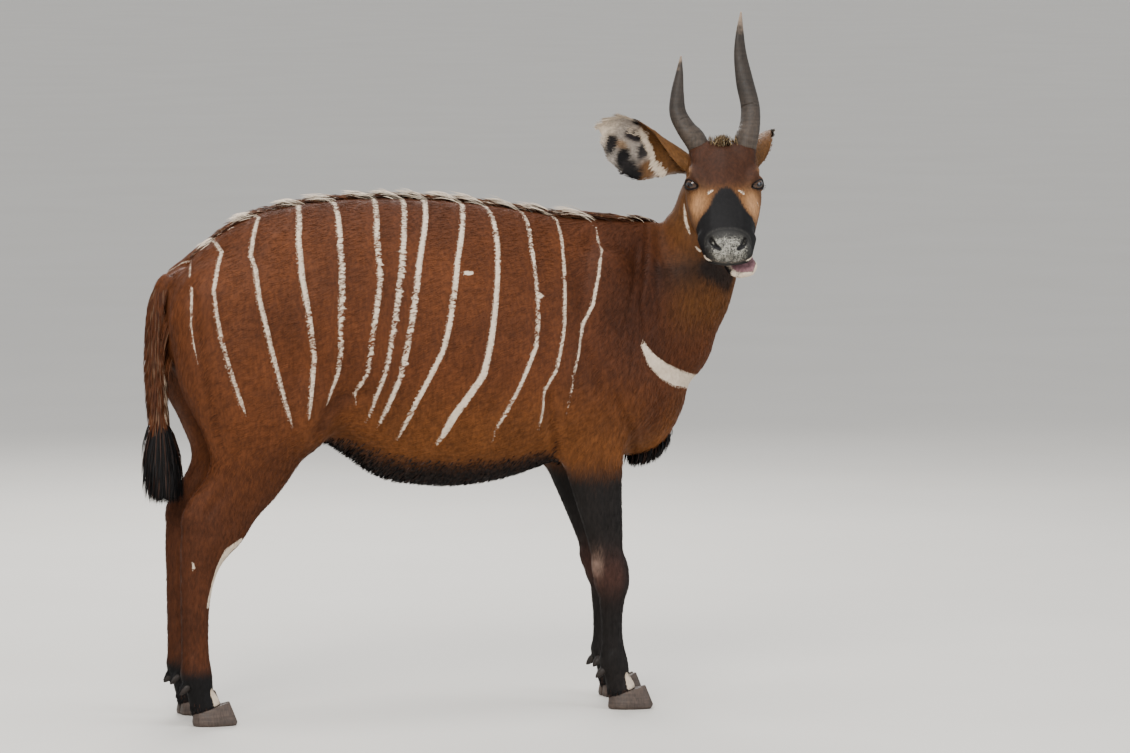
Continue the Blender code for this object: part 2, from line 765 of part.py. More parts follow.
# The tail's short-haired core: x, y, z, half width, half depth and taper
TAIL = [
    (-0.545, 0.0, 1.062, 0.027, 0.024, 0.0),
    (-0.573, 0.0, 1.040, 0.026, 0.023, 0.0),
    (-0.588, 0.0, 0.980, 0.023, 0.020, 0.0),
    (-0.593, 0.0, 0.900, 0.020, 0.017, 0.0),
    (-0.593, 0.0, 0.820, 0.018, 0.015, 0.0),
    (-0.588, 0.0, 0.740, 0.017, 0.014, 0.0),
    (-0.578, 0.0, 0.660, 0.015, 0.012, 0.0),
    (-0.570, 0.0, 0.605, 0.012, 0.010, 0.0),
    (-0.566, 0.0, 0.575, 0.006, 0.005, 0.0),
]


def lock(root, way, bend, length, width, thickness, side, sink):
    """One flat lock of hair that bends and narrows to its tip, its root sunk under the skin."""
    rows = []
    for share, swell in ((0.0, 0.80), (0.36, 1.0), (0.72, 0.62), (1.0, 0.10)):
        reach = (length + sink) * share - sink
        out = max(0.0, reach) / length
        spot = root + way * reach + bend * length * out ** 2
        rows.append((*spot, width / 2 * swell, thickness / 2 * max(swell, 0.35), 0.0))
    return loft(rows, 4, 4, side=tuple(side))


def grow_locks(obj, meshes):
    """Fuse locks onto what they grow from."""
    group = bpy.data.collections.new("locks")
    bpy.context.scene.collection.children.link(group)
    for mesh in meshes:
        piece = bpy.data.objects.new("lock", mesh)
        group.objects.link(piece)
    change = obj.modifiers.new("grow", "BOOLEAN")
    change.operation = "UNION"
    change.solver = "EXACT"
    change.operand_type = "COLLECTION"
    change.collection = group
    bake(obj)
    for piece in list(group.objects):
        drop(piece)
    bpy.data.collections.remove(group)
    keep_largest(obj)


def skin_point(tree, place, direction):
    """Where a line from a place first meets the skin."""
    spot, _, _, _ = tree.ray_cast(Vector(place), Vector(direction))
    return spot


# Crest along the back: places along the body from rump to withers, and the height of its hair
CREST_ENDS = (-0.515, 0.560)
CREST_LOCKS = 46
CREST_HEIGHTS = [
    (-0.52, 0.018), (-0.45, 0.030), (-0.36, 0.036), (-0.24, 0.027), (-0.14, 0.031), (0.05, 0.025),
    (0.20, 0.028), (0.38, 0.036), (0.47, 0.030), (0.56, 0.016),
]


def crest_locks(tree):
    draw = random.Random(11)
    meshes = []
    places, heights = zip(*CREST_HEIGHTS)
    low, high = CREST_ENDS
    for index in range(CREST_LOCKS):
        x = low + (high - low) * (index + draw.uniform(-0.2, 0.2)) / (CREST_LOCKS - 1)
        sway = 1 if index % 2 else -1
        root = skin_point(tree, (x, 0.004 * sway, 1.5), (0, 0, -1))
        height = np.interp(x, places, heights) * draw.uniform(0.85, 1.15)
        lean = math.radians(draw.uniform(50, 60))
        slope = np.interp(x, (-0.55, -0.30, 0.20, 0.60), (-0.95, -0.25, 0.08, 0.30))
        way = Vector((-math.sin(lean), 0.10 * sway, math.cos(lean) - slope * -0.6)).normalized()
        bend = Vector((-0.15, 0.04 * sway, -0.10))
        length = height * 1.85
        meshes.append(lock(
            root, way, bend, length, draw.uniform(0.032, 0.038), 0.0075, (1, 0, 0.2), 0.014
        ))
    return meshes


# Long hair under the chest, between the forelegs
BRISKET_LOCKS = 6


def brisket_locks(tree):
    draw = random.Random(23)
    meshes = []
    for index in range(BRISKET_LOCKS):
        x = 0.575 + 0.080 * index / (BRISKET_LOCKS - 1)
        y = 0.012 * (1 if index % 2 else -1)
        root = skin_point(tree, (x, y, 0.45), (0, 0, 1))
        way = Vector((-0.35 + draw.uniform(-0.1, 0.1), y * 4, -1.0)).normalized()
        meshes.append(lock(
            root, way, Vector((-0.25, 0, -0.05)), draw.uniform(0.035, 0.050),
            draw.uniform(0.022, 0.028), 0.009, (1, 0, 0), 0.014
        ))
    return meshes


# Long hair of the tail: height of the root, length, how far it flares and how many lie round
TAIL_RINGS = [
    (0.930, 0.150, 0.18, 3), (0.845, 0.160, 0.28, 4), (0.760, 0.160, 0.42, 4),
    (0.685, 0.145, 0.52, 5), (0.615, 0.095, 0.30, 3),
]


def tail_locks():
    draw = random.Random(37)
    centre = smooth_rows(TAIL, 40)
    heights = centre[::-1, 2]
    meshes = []
    for level, (z, length, flare, count) in enumerate(TAIL_RINGS):
        x = np.interp(z, heights, centre[::-1, 0])
        lower = np.interp(z - 0.05, heights, centre[::-1, 0])
        tangent = Vector((lower - x, 0, -0.05)).normalized()
        for index in range(count):
            angle = math.pi + 2 * math.pi * (index + 0.5 * (level % 2) + draw.uniform(-0.1, 0.1)) / count
            outward = Vector((math.cos(angle), math.sin(angle), 0.0))
            root = Vector((x, 0, z)) + outward * 0.009
            way = (tangent + outward * flare).normalized()
            bend = tangent * 0.10 - outward * flare * draw.uniform(0.5, 0.8)
            side = outward.cross(tangent)
            meshes.append(lock(
                root, way, bend, length * draw.uniform(0.92, 1.06), draw.uniform(0.038, 0.046), 0.010,
                side, 0.010
            ))
    return meshes


# Fringe of each ear: share of its length and the edge it grows on
EAR_FRINGE = [
    (0.38, -1), (0.51, -1), (0.64, -1), (0.76, -1), (0.87, -1), (0.97, -1), (0.97, 1), (0.88, 1),
    (0.78, 1), (0.67, 1), (0.54, 1), (0.40, 1),
]


def ear_fringe(side):
    draw = random.Random(5 if side == "left" else 6)
    flip = 1 if side == "right" else -1
    depth = EAR_THICKNESS / 2
    meshes = []
    for share, edge in EAR_FRINGE:
        rim = Vector(ear_spot(share, edge, depth, flip))
        inside = Vector(ear_spot(share, edge * 0.85, depth, flip))
        ahead = Vector(ear_spot(min(1.0, share + 0.05), edge, depth, flip))
        behind = Vector(ear_spot(share - 0.05, edge, depth, flip))
        outward = (rim - inside).normalized()
        along = (ahead - behind).normalized()
        way = (outward + along * draw.uniform(1.2, 1.8)).normalized()
        meshes.append(lock(
            rim - outward * 0.003, way, outward * -0.15, draw.uniform(0.028, 0.036),
            draw.uniform(0.018, 0.022), EAR_THICKNESS * 0.8, along.cross(outward).cross(way), 0.008
        ))
    return meshes


def dewclaws(which):
    """The two small false hoofs behind the pastern."""
    table = FORELEG if which.startswith("fore") else HINDLEG
    place, turn = foot_place(which)
    rows = [row for row in leg_rows(which, table) if row[2] <= 0.13]
    x, y, z, _, depth, _ = rows[0]
    forward = Vector((math.cos(turn), math.sin(turn), 0.0))
    sideways = Vector((-math.sin(turn), math.cos(turn), 0.0))
    meshes = []
    for hand in (-1, 1):
        root = Vector((x, y, z - 0.018)) - forward * (depth - 0.010) + sideways * 0.016 * hand
        way = (-forward * 0.75 + sideways * 0.22 * hand - Vector((0, 0, 0.75))).normalized()
        meshes.append(lock(
            root, way, Vector((0, 0, -0.15)), 0.024, 0.022, 0.018, sideways, 0.006
        ))
    return meshes


def leg_block(which, grow):
    """The block that parts one leg from the trunk, `grow` larger on its faces to the trunk."""
    flip = 1.0 if which.endswith("left") else -1.0
    inner, outer = 0.020 - grow, 0.36
    if which.startswith("fore"):
        back, front = 0.345 - grow, 0.620 + grow
        top_back = top_front = FORE_CUT + grow
    else:
        back, front = -0.760, -0.205 + grow
        top_back, top_front = 0.970 + grow, 0.688 + grow
    low = [(back, inner, -0.2), (front, inner, -0.2), (front, outer, -0.2), (back, outer, -0.2)]
    high = [
        (back, inner, top_back), (front, inner, top_front),
        (front, outer, top_front), (back, outer, top_back),
    ]
    if flip < 0:
        low = [(x, -y, z) for x, y, z in reversed(low)]
        high = [(x, -y, z) for x, y, z in reversed(high)]
    return slab(low, high)


LEGS = ("fore_left", "fore_right", "hind_left", "hind_right")
NECK_CUT_POINT = Vector((0.655, 0.0, 1.010))
NECK_CUT_NORMAL = Vector((0.93, 0.0, 0.36)).normalized()


def body_clay():
    shapes = [trunk(), neck()] + chest() + both_sides(shoulder_and_haunch())
    for which in LEGS:
        shapes.append(upper_leg(which, FORELEG if which.startswith("fore") else HINDLEG))
    return fuse("torso", shapes, BODY_VOXEL, 30, BODY_TRIANGLES)


def finished(obj, name, stuff):
    """Name a node and give it its material."""
    obj.name = name
    obj.data.materials.clear()
    obj.data.materials.append(stuff)
    return obj


def leg_nodes(body, coat, dark_coat, hoof_stuff):
    """Part each upper leg from the body, and set the lower leg and its two hoofs under it."""
    nodes = []
    for which in LEGS:
        front = which.startswith("fore")
        table, level = (FORELEG, KNEE_CUT) if front else (HINDLEG, HOCK_CUT)
        upper = copy_of(body, "upper")
        block = leg_block(which, 0.0)
        boolean(upper, block, "INTERSECT")
        drop(block)
        halved(upper, (0, 0, level + GAP / 2), (0, 0, -1))
        keep_largest(upper)
        lower = lower_leg(which, table, level)
        grow_locks(lower, dewclaws(which))
        nodes.append(finished(upper, f"leg_{which}_upper", dark_coat if front else coat))
        nodes.append(finished(lower, f"leg_{which}_lower", dark_coat))
        for inner in (False, True):
            hoof = toe(which, inner)
            nodes.append(finished(hoof, hoof.name, hoof_stuff))
    for which in LEGS:
        block = leg_block(which, GAP)
        boolean(body, block, "DIFFERENCE")
        drop(block)
    return nodes


def parted_neck(body):
    """Part the neck from the trunk with one thin slanting cut."""
    part = copy_of(body, "neck")
    halved(part, NECK_CUT_POINT + NECK_CUT_NORMAL * GAP / 2, -NECK_CUT_NORMAL)
    keep_largest(part)
    halved(body, NECK_CUT_POINT - NECK_CUT_NORMAL * GAP / 2, NECK_CUT_NORMAL)
    keep_largest(body)
    return part


def head_pieces():
    """The head and all that sits in it or grows from it, in the head's own frame."""
    skull = head()
    eyes = [eye("left"), eye("right")]
    for side, ball in zip(("left", "right"), eyes):
        fold, opening = lids(side)
        boolean(skull, fold, "UNION")
        drop(fold)
        for cutter in (opening, grown(ball, GAP), nostril(side)):
            boolean(skull, cutter, "DIFFERENCE")
            drop(cutter)
    cutter = mouth_cutter()
    boolean(skull, cutter, "DIFFERENCE")
    drop(cutter)
    jaw = lower_jaw()
    seat(jaw, skull)
    tongue_part = tongue()
    seat(tongue_part, jaw)
    seat(tongue_part, skull)
    horns = [horn("left", HORN_LEFT), horn("right", HORN_RIGHT)]
    ears = [ear("left"), ear("right")]
    for piece, side, place in zip(ears, ("left", "right"), (EAR_LEFT_FRAME, EAR_RIGHT_FRAME)):
        grow_locks(piece, ear_fringe(side))
        moved(piece.data, ear_frame(*place))
    for piece in horns + ears:
        seat(piece, skull)
    return skull, jaw, tongue_part, eyes, horns, ears


def centred(nodes):
    """Move every mesh so that the origin is the middle of the whole box at floor level."""
    corners = np.array([vert.co for obj in nodes for vert in obj.data.vertices])
    low, high = corners.min(axis=0), corners.max(axis=0)
    shift = Vector((-(low[0] + high[0]) / 2, -(low[1] + high[1]) / 2, -low[2]))
    for obj in nodes:
        moved(obj.data, Matrix.Translation(shift))


def build():
    clear_scene()
    coat = material("coat", CHESTNUT, 0.8)
    dark_coat = material("dark coat", DARK_CHESTNUT, 0.8)
    black_hair = material("black hair", BLACK_HAIR, 0.75)
    horn_stuff = material("horn", HORN_GREY, 0.45)
    hoof_stuff = material("hoof", HOOF_GREY, 0.6)
    eye_stuff = material("eye", EYE_BROWN, 0.08)
    mouth_stuff = material("mouth", MOUTH_PINK, 0.4)

    body = body_clay()
    nodes = leg_nodes(body, coat, dark_coat, hoof_stuff)
    neck_part = parted_neck(body)

    skull, jaw, tongue_part, eyes, horns, ears = head_pieces()
    for piece in [skull, jaw, tongue_part] + eyes + horns + ears:
        moved(piece.data, HEAD_FRAME)
    seat(neck_part, skull)
    for piece in ears:
        seat(piece, neck_part)

    tree = BVHTree.FromObject(body, bpy.context.evaluated_depsgraph_get())
    grow_locks(body, crest_locks(tree) + brisket_locks(tree))
    tail = new_object("tail", loft(TAIL, 14, 8))
    grow_locks(tail, tail_locks())
    seat(tail, body)

    nodes.append(finished(body, "torso", coat))
    nodes.append(finished(neck_part, "neck", coat))
    nodes.append(finished(skull, "head", coat))
    nodes.append(finished(jaw, "lower_jaw", dark_coat))
    nodes.append(finished(tongue_part, "tongue", mouth_stuff))
    nodes += [finished(ball, ball.name, eye_stuff) for ball in eyes]
    nodes += [finished(piece, piece.name, horn_stuff) for piece in horns]
    nodes += [finished(piece, piece.name, coat) for piece in ears]
    nodes.append(finished(tail, "tail", black_hair))
    centred(nodes)


build()
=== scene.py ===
"""The looks of the female bongo antelope: skin, coat, face, ears, horns, hoofs, tail and light.

Metres, +Z up. The animal faces +X and turns its head to its right, towards the camera.
"""

import json
import math

import bpy
import numpy as np
from mathutils import Matrix, Vector
from mathutils.bvhtree import BVHTree

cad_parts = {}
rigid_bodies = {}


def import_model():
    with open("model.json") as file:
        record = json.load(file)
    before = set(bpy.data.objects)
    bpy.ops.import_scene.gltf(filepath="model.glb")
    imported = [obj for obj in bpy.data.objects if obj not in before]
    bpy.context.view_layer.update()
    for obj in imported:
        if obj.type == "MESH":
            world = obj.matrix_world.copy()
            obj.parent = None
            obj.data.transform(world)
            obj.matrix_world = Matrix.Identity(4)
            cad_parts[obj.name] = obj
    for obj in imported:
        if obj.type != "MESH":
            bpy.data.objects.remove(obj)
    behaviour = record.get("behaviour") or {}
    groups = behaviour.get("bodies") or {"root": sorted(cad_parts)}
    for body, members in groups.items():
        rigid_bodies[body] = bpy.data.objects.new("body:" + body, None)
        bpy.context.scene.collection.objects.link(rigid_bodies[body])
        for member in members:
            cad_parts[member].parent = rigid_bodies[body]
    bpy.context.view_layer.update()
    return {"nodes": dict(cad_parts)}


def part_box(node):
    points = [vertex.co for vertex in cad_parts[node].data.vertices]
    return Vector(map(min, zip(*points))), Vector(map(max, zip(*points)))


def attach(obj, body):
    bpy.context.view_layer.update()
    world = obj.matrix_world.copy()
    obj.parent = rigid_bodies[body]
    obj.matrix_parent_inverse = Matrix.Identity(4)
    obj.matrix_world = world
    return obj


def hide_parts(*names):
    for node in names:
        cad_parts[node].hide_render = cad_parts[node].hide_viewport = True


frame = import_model()

# The head's own frame: x to the nose, y to the animal's left, z out of the forehead
HEAD_YAW = math.radians(-104.5)
HEAD_PITCH = math.radians(38.0)
EYE_PLACE = Vector((0.1020, 0.0712, -0.0356))
EYE_GAZE = Vector((0.60, 0.62, 0.50))
EYE_RADIUS = 0.0205
HEAD_IN_BODY = Vector((0.766, -0.130, 1.357))


def middle_of(node):
    low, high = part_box(node)
    return (low + high) / 2


HEAD_TURN = Matrix.Rotation(HEAD_YAW, 4, "Z") @ Matrix.Rotation(HEAD_PITCH, 4, "Y")
between_eyes = (middle_of("eye_left") + middle_of("eye_right")) / 2
HEAD_PLACE = between_eyes - HEAD_TURN @ Vector((EYE_PLACE.x, 0.0, EYE_PLACE.z))
HEAD = Matrix.Translation(HEAD_PLACE) @ HEAD_TURN
# The body's own frame: its origin lies on the floor half way between the fore and hind feet
BODY_PLACE = HEAD_PLACE - HEAD_IN_BODY

# The camera: it stands to the animal's right, a little behind, and looks slightly down
CAMERA_AZIMUTH = math.radians(-17.0)
CAMERA_RISE = math.radians(5.0)
CAMERA_DISTANCE = 15.0
CAMERA_AIM = BODY_PLACE + Vector((0.412, 0.0, 0.800))
PICTURE = (1130, 753)
PIXEL = 0.0024
SENSOR = 36.0

LOOK = Vector((
    -math.sin(CAMERA_AZIMUTH) * math.cos(CAMERA_RISE),
    math.cos(CAMERA_AZIMUTH) * math.cos(CAMERA_RISE),
    -math.sin(CAMERA_RISE),
))
RIGHT = LOOK.cross(Vector((0, 0, 1))).normalized()
UPWARD = RIGHT.cross(LOOK)
CAMERA_PLACE = CAMERA_AIM - LOOK * CAMERA_DISTANCE


def camera():
    lens = CAMERA_DISTANCE / (PICTURE[0] * PIXEL) * SENSOR
    data = bpy.data.cameras.new("camera")
    data.lens = lens
    data.sensor_width = SENSOR
    data.clip_end = 500.0
    made = bpy.data.objects.new("camera", data)
    bpy.context.collection.objects.link(made)
    made.location = CAMERA_PLACE
    made.rotation_euler = LOOK.to_track_quat("-Z", "Y").to_euler()
    bpy.context.scene.camera = made


MILLIMETRE = 0.001
# Points closer together than this are one
MERGED = 1e-6
# What is written as the distance to the white marks where none is near
FAR = 0.03
IN_WHITE = -0.004
# Colours as linear red, green and blue
CHESTNUT = (0.079, 0.0235, 0.0070)
DEEP_CHESTNUT = (0.040, 0.0120, 0.0045)
CINNAMON = (0.145, 0.0500, 0.0110)
NECK_ORANGE = (0.074, 0.0275, 0.0066)
BLACK_HAIR = (0.0045, 0.0040, 0.0042)
LEG_BLACK = (0.0095, 0.0078, 0.0072)
CREAM = (0.600, 0.500, 0.390)
PEACH = (0.420, 0.220, 0.100)
PAD_GREY = (0.270, 0.260, 0.222)
MOUTH_MAUVE = (0.210, 0.110, 0.120)
HORN_GREY = (0.0205, 0.0150, 0.0110)
HOOF_GREY = (0.028, 0.020, 0.016)


def select_only(obj):
    for other in bpy.context.view_layer.objects:
        other.select_set(False)
    obj.select_set(True)
    bpy.context.view_layer.objects.active = obj


def edit(obj):
    select_only(obj)
    bpy.ops.object.mode_set(mode="EDIT")


def leave_edit():
    bpy.ops.object.mode_set(mode="OBJECT")


def new_object(name, mesh):
    obj = bpy.data.objects.new(name, mesh)
    bpy.context.collection.objects.link(obj)
    return obj


def places(obj):
    """The object's points as an array."""
    flat = np.empty(len(obj.data.vertices) * 3)
    obj.data.vertices.foreach_get("co", flat)
    return flat.reshape(-1, 3)


def set_places(obj, points):
    obj.data.vertices.foreach_set("co", np.ascontiguousarray(points, dtype=np.float32).ravel())
    obj.data.update()


def normals_of(obj):
    flat = np.empty(len(obj.data.vertices) * 3)
    obj.data.vertex_normals.foreach_get("vector", flat)
    return flat.reshape(-1, 3)


def transformed(points, matrix):
    table = np.array(matrix)
    return points @ table[:3, :3].T + table[:3, 3]


def in_head(points):
    return transformed(points, HEAD.inverted())


def in_body(points):
    return points - np.array(BODY_PLACE)


def write_floats(mesh, name, values):
    layer = mesh.attributes.get(name) or mesh.attributes.new(name, "FLOAT", "POINT")
    layer.data.foreach_set("value", np.ascontiguousarray(values, dtype=np.float32))


def read_floats(mesh, name):
    values = np.empty(len(mesh.vertices), dtype=np.float32)
    mesh.attributes[name].data.foreach_get("value", values)
    return values.astype(float)


def lengths(vectors):
    return np.linalg.norm(vectors, axis=-1)


def unit(vectors):
    return vectors / np.maximum(lengths(vectors), 1e-9)[..., None]


def ramp(values, low, high):
    """A soft step that is 0 up to `low` and 1 from `high`."""
    t = np.clip((values - low) / (high - low), 0.0, 1.0)
    return t * t * (3 - 2 * t)


def hump(values, centre, reach):
    return np.exp(-((values - centre) / reach) ** 2)


def smooth_rows(rows, count):
    """Read `count` rows from a smooth curve through the given rows."""
    table = np.array(rows, dtype=float)
    last = len(table) - 1
    padded = np.vstack([2 * table[0] - table[1], table, 2 * table[-1] - table[-2]])
    result = []
    for position in np.linspace(0.0, last, count):
        index = min(int(position), last - 1)
        t = position - index
        before, start, end, after = padded[index:index + 4]
        result.append(0.5 * (
            2 * start
            + (end - before) * t
            + (2 * before - 5 * start + 4 * end - after) * t * t
            + (3 * start - before - 3 * end + after) * t ** 3
        ))
    return np.array(result)


def apply_modifiers(obj):
    select_only(obj)
    for modifier in list(obj.modifiers):
        bpy.ops.object.modifier_apply(modifier=modifier.name)


def join(objects, name):
    select_only(objects[0])
    for obj in objects[1:]:
        obj.select_set(True)
    bpy.ops.object.join()
    joined = bpy.context.view_layer.objects.active
    joined.name = name
    joined.data.name = name
    return joined


# Skin
LEGS = ("fore_left", "fore_right", "hind_left", "hind_right")
FLESH = ["torso", "neck", "head", "lower_jaw"]
FLESH += [f"leg_{leg}_{part}" for leg in LEGS for part in ("upper", "lower")]
SEAM_CLOSING = 0.0006
SKIN_VOXEL = 0.0032
BODY_FACES_KEPT = 0.08
MARKED_FACES_KEPT = 0.32
MUZZLE_START = 0.262
# Top of the back under the hair of the crest, and the chest's lowest line: x and height
BACK_LINE = [
    (-0.62, 1.000), (-0.571, 1.045), (-0.535, 1.079), (-0.486, 1.126), (-0.413, 1.176),
    (-0.340, 1.209), (-0.243, 1.226), (-0.145, 1.235), (-0.047, 1.236), (0.052, 1.232),
    (0.150, 1.223), (0.250, 1.210), (0.349, 1.192), (0.430, 1.179), (0.500, 1.177), (0.60, 1.172),
]
CHEST_LINE = [
    (0.50, 0.616), (0.540, 0.612), (0.585, 0.606), (0.620, 0.612), (0.655, 0.632), (0.69, 0.68),
]
# The tail's middle line: x, y, height and radius
TAIL_LINE = [
    (-0.520, 0.0, 1.060, 0.026), (-0.560, 0.0, 1.047, 0.025), (-0.579, 0.0, 1.020, 0.022),
    (-0.590, 0.0, 0.960, 0.018), (-0.594, 0.0, 0.880, 0.016), (-0.592, 0.0, 0.800, 0.014),
    (-0.585, 0.0, 0.720, 0.012), (-0.576, 0.0, 0.650, 0.010), (-0.570, 0.0, 0.600, 0.007),
    (-0.567, 0.0, 0.580, 0.002),
]


# Legs going up: height, x, y on the animal's left side, half width, and half depth fore and aft
LEG_LINES = {
    "fore": [
        (0.020, 0.529, 0.108, 0.030, 0.034), (0.055, 0.520, 0.108, 0.030, 0.034),
        (0.085, 0.510, 0.108, 0.027, 0.031), (0.120, 0.502, 0.108, 0.030, 0.034),
        (0.165, 0.498, 0.108, 0.024, 0.026), (0.270, 0.496, 0.108, 0.028, 0.031),
        (0.340, 0.492, 0.108, 0.033, 0.042), (0.440, 0.476, 0.110, 0.034, 0.048),
        (0.560, 0.455, 0.113, 0.041, 0.066), (0.680, 0.450, 0.114, 0.048, 0.083),
    ],
    "hind": [
        (0.020, -0.495, 0.100, 0.031, 0.036), (0.055, -0.503, 0.100, 0.031, 0.036),
        (0.085, -0.515, 0.100, 0.028, 0.032), (0.125, -0.523, 0.100, 0.031, 0.037),
        (0.170, -0.527, 0.100, 0.026, 0.033), (0.310, -0.526, 0.100, 0.025, 0.036),
        (0.375, -0.518, 0.100, 0.027, 0.045), (0.425, -0.505, 0.100, 0.031, 0.060),
        (0.465, -0.487, 0.101, 0.033, 0.077), (0.500, -0.471, 0.102, 0.035, 0.083),
        (0.545, -0.440, 0.104, 0.040, 0.080), (0.595, -0.405, 0.108, 0.047, 0.093),
        (0.660, -0.385, 0.112, 0.060, 0.122), (0.830, -0.385, 0.112, 0.080, 0.163),
    ],
}
LEG_TOP = {"fore": 0.760, "hind": 0.940}
LEG_SHIFT = {"fore_left": 0.046, "fore_right": 0.0, "hind_left": 0.014, "hind_right": 0.0}
TOE_OUT = {"fore_left": 6.0, "fore_right": 24.0, "hind_left": 8.0, "hind_right": 12.0}


def leg_spot(leg, height, ahead, outward):
    """A place on a leg: `ahead` counts in its half depths and `outward` in its half widths."""
    kind, side = leg.split("_")
    heights, xs, ys, widths, depths = zip(*LEG_LINES[kind])
    share = min(1.0, (LEG_TOP[kind] - height) / (LEG_TOP[kind] - 0.30))
    x = np.interp(height, heights, xs) + LEG_SHIFT[leg] * share + ahead * np.interp(height, heights, depths)
    y = np.interp(height, heights, ys) + outward * np.interp(height, heights, widths)
    return np.array(BODY_PLACE) + (x, y if side == "left" else -y, height)


def toe_ways(leg):
    """The way the toes of a leg point, and the way across them."""
    turn = math.radians(TOE_OUT[leg]) * (1 if leg.endswith("left") else -1)
    return np.array((math.cos(turn), math.sin(turn), 0)), np.array((-math.sin(turn), math.cos(turn), 0))


def pastern_spot(leg, height, ahead, across):
    """A place on the pastern, which is turned with the toes."""
    _, _, _, widths, depths = zip(*LEG_LINES[leg.split("_")[0]])
    forward, sideways = toe_ways(leg)
    return leg_spot(leg, height, 0, 0) + forward * ahead * depths[1] + sideways * across * widths[1]


def wrapped(name, around, along, place, closed_ends=True):
    """A tube from a grid: `place` gives the point at each share of the way round and along."""
    bpy.ops.mesh.primitive_grid_add(x_subdivisions=around, y_subdivisions=along, size=2.0)
    obj = bpy.context.view_layer.objects.active
    obj.name = name
    obj.data.name = name
    grid = places(obj)
    shares = (grid[:, :2] + 1.0) / 2.0
    write_floats(obj.data, "around", shares[:, 0])
    write_floats(obj.data, "along", shares[:, 1])
    set_places(obj, place(shares[:, 0], shares[:, 1]))
    edit(obj)
    bpy.ops.mesh.select_all(action="SELECT")
    bpy.ops.mesh.remove_doubles(threshold=MERGED)
    if closed_ends:
        bpy.ops.mesh.fill_holes(sides=0)
    bpy.ops.mesh.normals_make_consistent(inside=False)
    leave_edit()
    bpy.ops.object.shade_smooth()
    return obj


def tube(name, rows, around, along, sections=None):
    """A round tube through rows of x, y, z and radius. `sections` reshapes its round."""
    table = smooth_rows(rows, along)
    centres = table[:, :3]
    tangents = unit(np.gradient(centres, axis=0))
    across = unit(np.cross(tangents, (0.0, 1.0, 0.0)))
    sideways = np.cross(tangents, across)

    def place(round_share, along_share):
        step = np.rint(along_share * (along - 1)).astype(int)
        angle = 2 * np.pi * round_share
        u, v = np.cos(angle), np.sin(angle)
        if sections is not None:
            u, v = sections(u, v, along_share)
        radius = table[step, 3][:, None]
        return centres[step] + radius * (across[step] * u[:, None] + sideways[step] * v[:, None])

    return wrapped(name, around + 1, along, place)


def flesh_copy(name):
    """A merged copy of one solid, a hair's breadth larger, so that neighbours run together."""
    mesh = frame["nodes"][name].data.copy()
    mesh.materials.clear()
    obj = new_object("flesh_" + name, mesh)
    on_all(obj, bpy.ops.mesh.remove_doubles, threshold=MERGED)
    swell = obj.modifiers.new("swell", "DISPLACE")
    swell.mid_level = 0.0
    swell.strength = SEAM_CLOSING
    apply_modifiers(obj)
    return obj


def on_all(obj, operator, **values):
    """Run one edit mode operator on the whole mesh."""
    edit(obj)
    bpy.ops.mesh.select_all(action="SELECT")
    operator(**values)
    leave_edit()


def remesh(obj, voxel):
    obj.data.remesh_voxel_size = voxel
    obj.data.remesh_voxel_adaptivity = 0.0
    select_only(obj)
    bpy.ops.object.voxel_remesh()


def group_of(obj, name, weights):
    """A vertex group from an array of weights, in a few even steps."""
    group = obj.vertex_groups.new(name=name)
    levels = np.rint(np.clip(weights, 0, 1) * 16).astype(int)
    for level in range(1, 17):
        members = np.flatnonzero(levels == level)
        if len(members):
            group.add(members.tolist(), level / 16, "REPLACE")
    return group.name


def soften(obj, weights, rounds, factor=0.5):
    modifier = obj.modifiers.new("soften", "SMOOTH")
    modifier.factor = factor
    modifier.iterations = rounds
    modifier.vertex_group = group_of(obj, "soft", weights)
    apply_modifiers(obj)
    obj.vertex_groups.clear()


def head_share(points):
    """1 on the head, falling to 0 where it runs into the neck."""
    local = in_head(points)
    x, y, z = local.T
    ahead = ramp(x - 0.45 * np.minimum(z + 0.10, 0.0), -0.060, -0.010)
    return ahead * ramp(z, -0.30, -0.19) * ramp(-np.abs(y), -0.20, -0.15)


def flattened(points):
    """Lay the solids' locks of hair down onto the back and the chest."""
    body = in_body(points)
    x, y, z = body.T
    backs, heights = zip(*BACK_LINE)
    top = np.interp(x, backs, heights) - 0.3 * y ** 2 / 0.2
    near = (np.abs(y) < 0.045) & (x < 0.60) & (z > 1.0) & (x > -0.565)
    z = np.where(near, np.minimum(z, top), z)
    chests, lows = zip(*CHEST_LINE)
    bottom = np.interp(x, chests, lows) + 1.2 * y ** 2
    under = (np.abs(y) < 0.045) & (x > 0.50) & (x < 0.69) & (z < 0.68)
    z = np.where(under, np.maximum(z, bottom), z)
    return np.column_stack([x, y, z]) + np.array(BODY_PLACE)


def skin():
    """One skin over all the flesh, on the solids' own surface, softened by region."""
    copies = [flesh_copy(name) for name in FLESH]
    rows = [
        (x + BODY_PLACE.x, y + BODY_PLACE.y, z + BODY_PLACE.z, radius) for x, y, z, radius in TAIL_LINE
    ]
    copies.append(tube("tail_core", rows, 16, 60))
    obj = join(copies, "skin")
    remesh(obj, SKIN_VOXEL)
    set_places(obj, flattened(places(obj)))
    remesh(obj, SKIN_VOXEL)
    points = places(obj)
    body = in_body(points)
    head = head_share(points)
    leg = ramp(-body[:, 2], -0.66, -0.54)
    tail = ramp(-body[:, 0], 0.555, 0.575)
    trunk = (1 - head) * (1 - leg) * (1 - tail)
    soften(obj, trunk, 150)
    soften(obj, leg * (1 - tail), 26)
    soften(obj, head, 12)
    soften(obj, np.ones(len(points)), 3)
    return obj


def edit_some(obj, chosen):
    """Enter edit mode with just these points selected."""
    edit(obj)
    bpy.ops.mesh.select_mode(type="VERT")
    bpy.ops.mesh.select_all(action="DESELECT")
    leave_edit()
    obj.data.vertices.foreach_set("select", chosen)
    edit(obj)


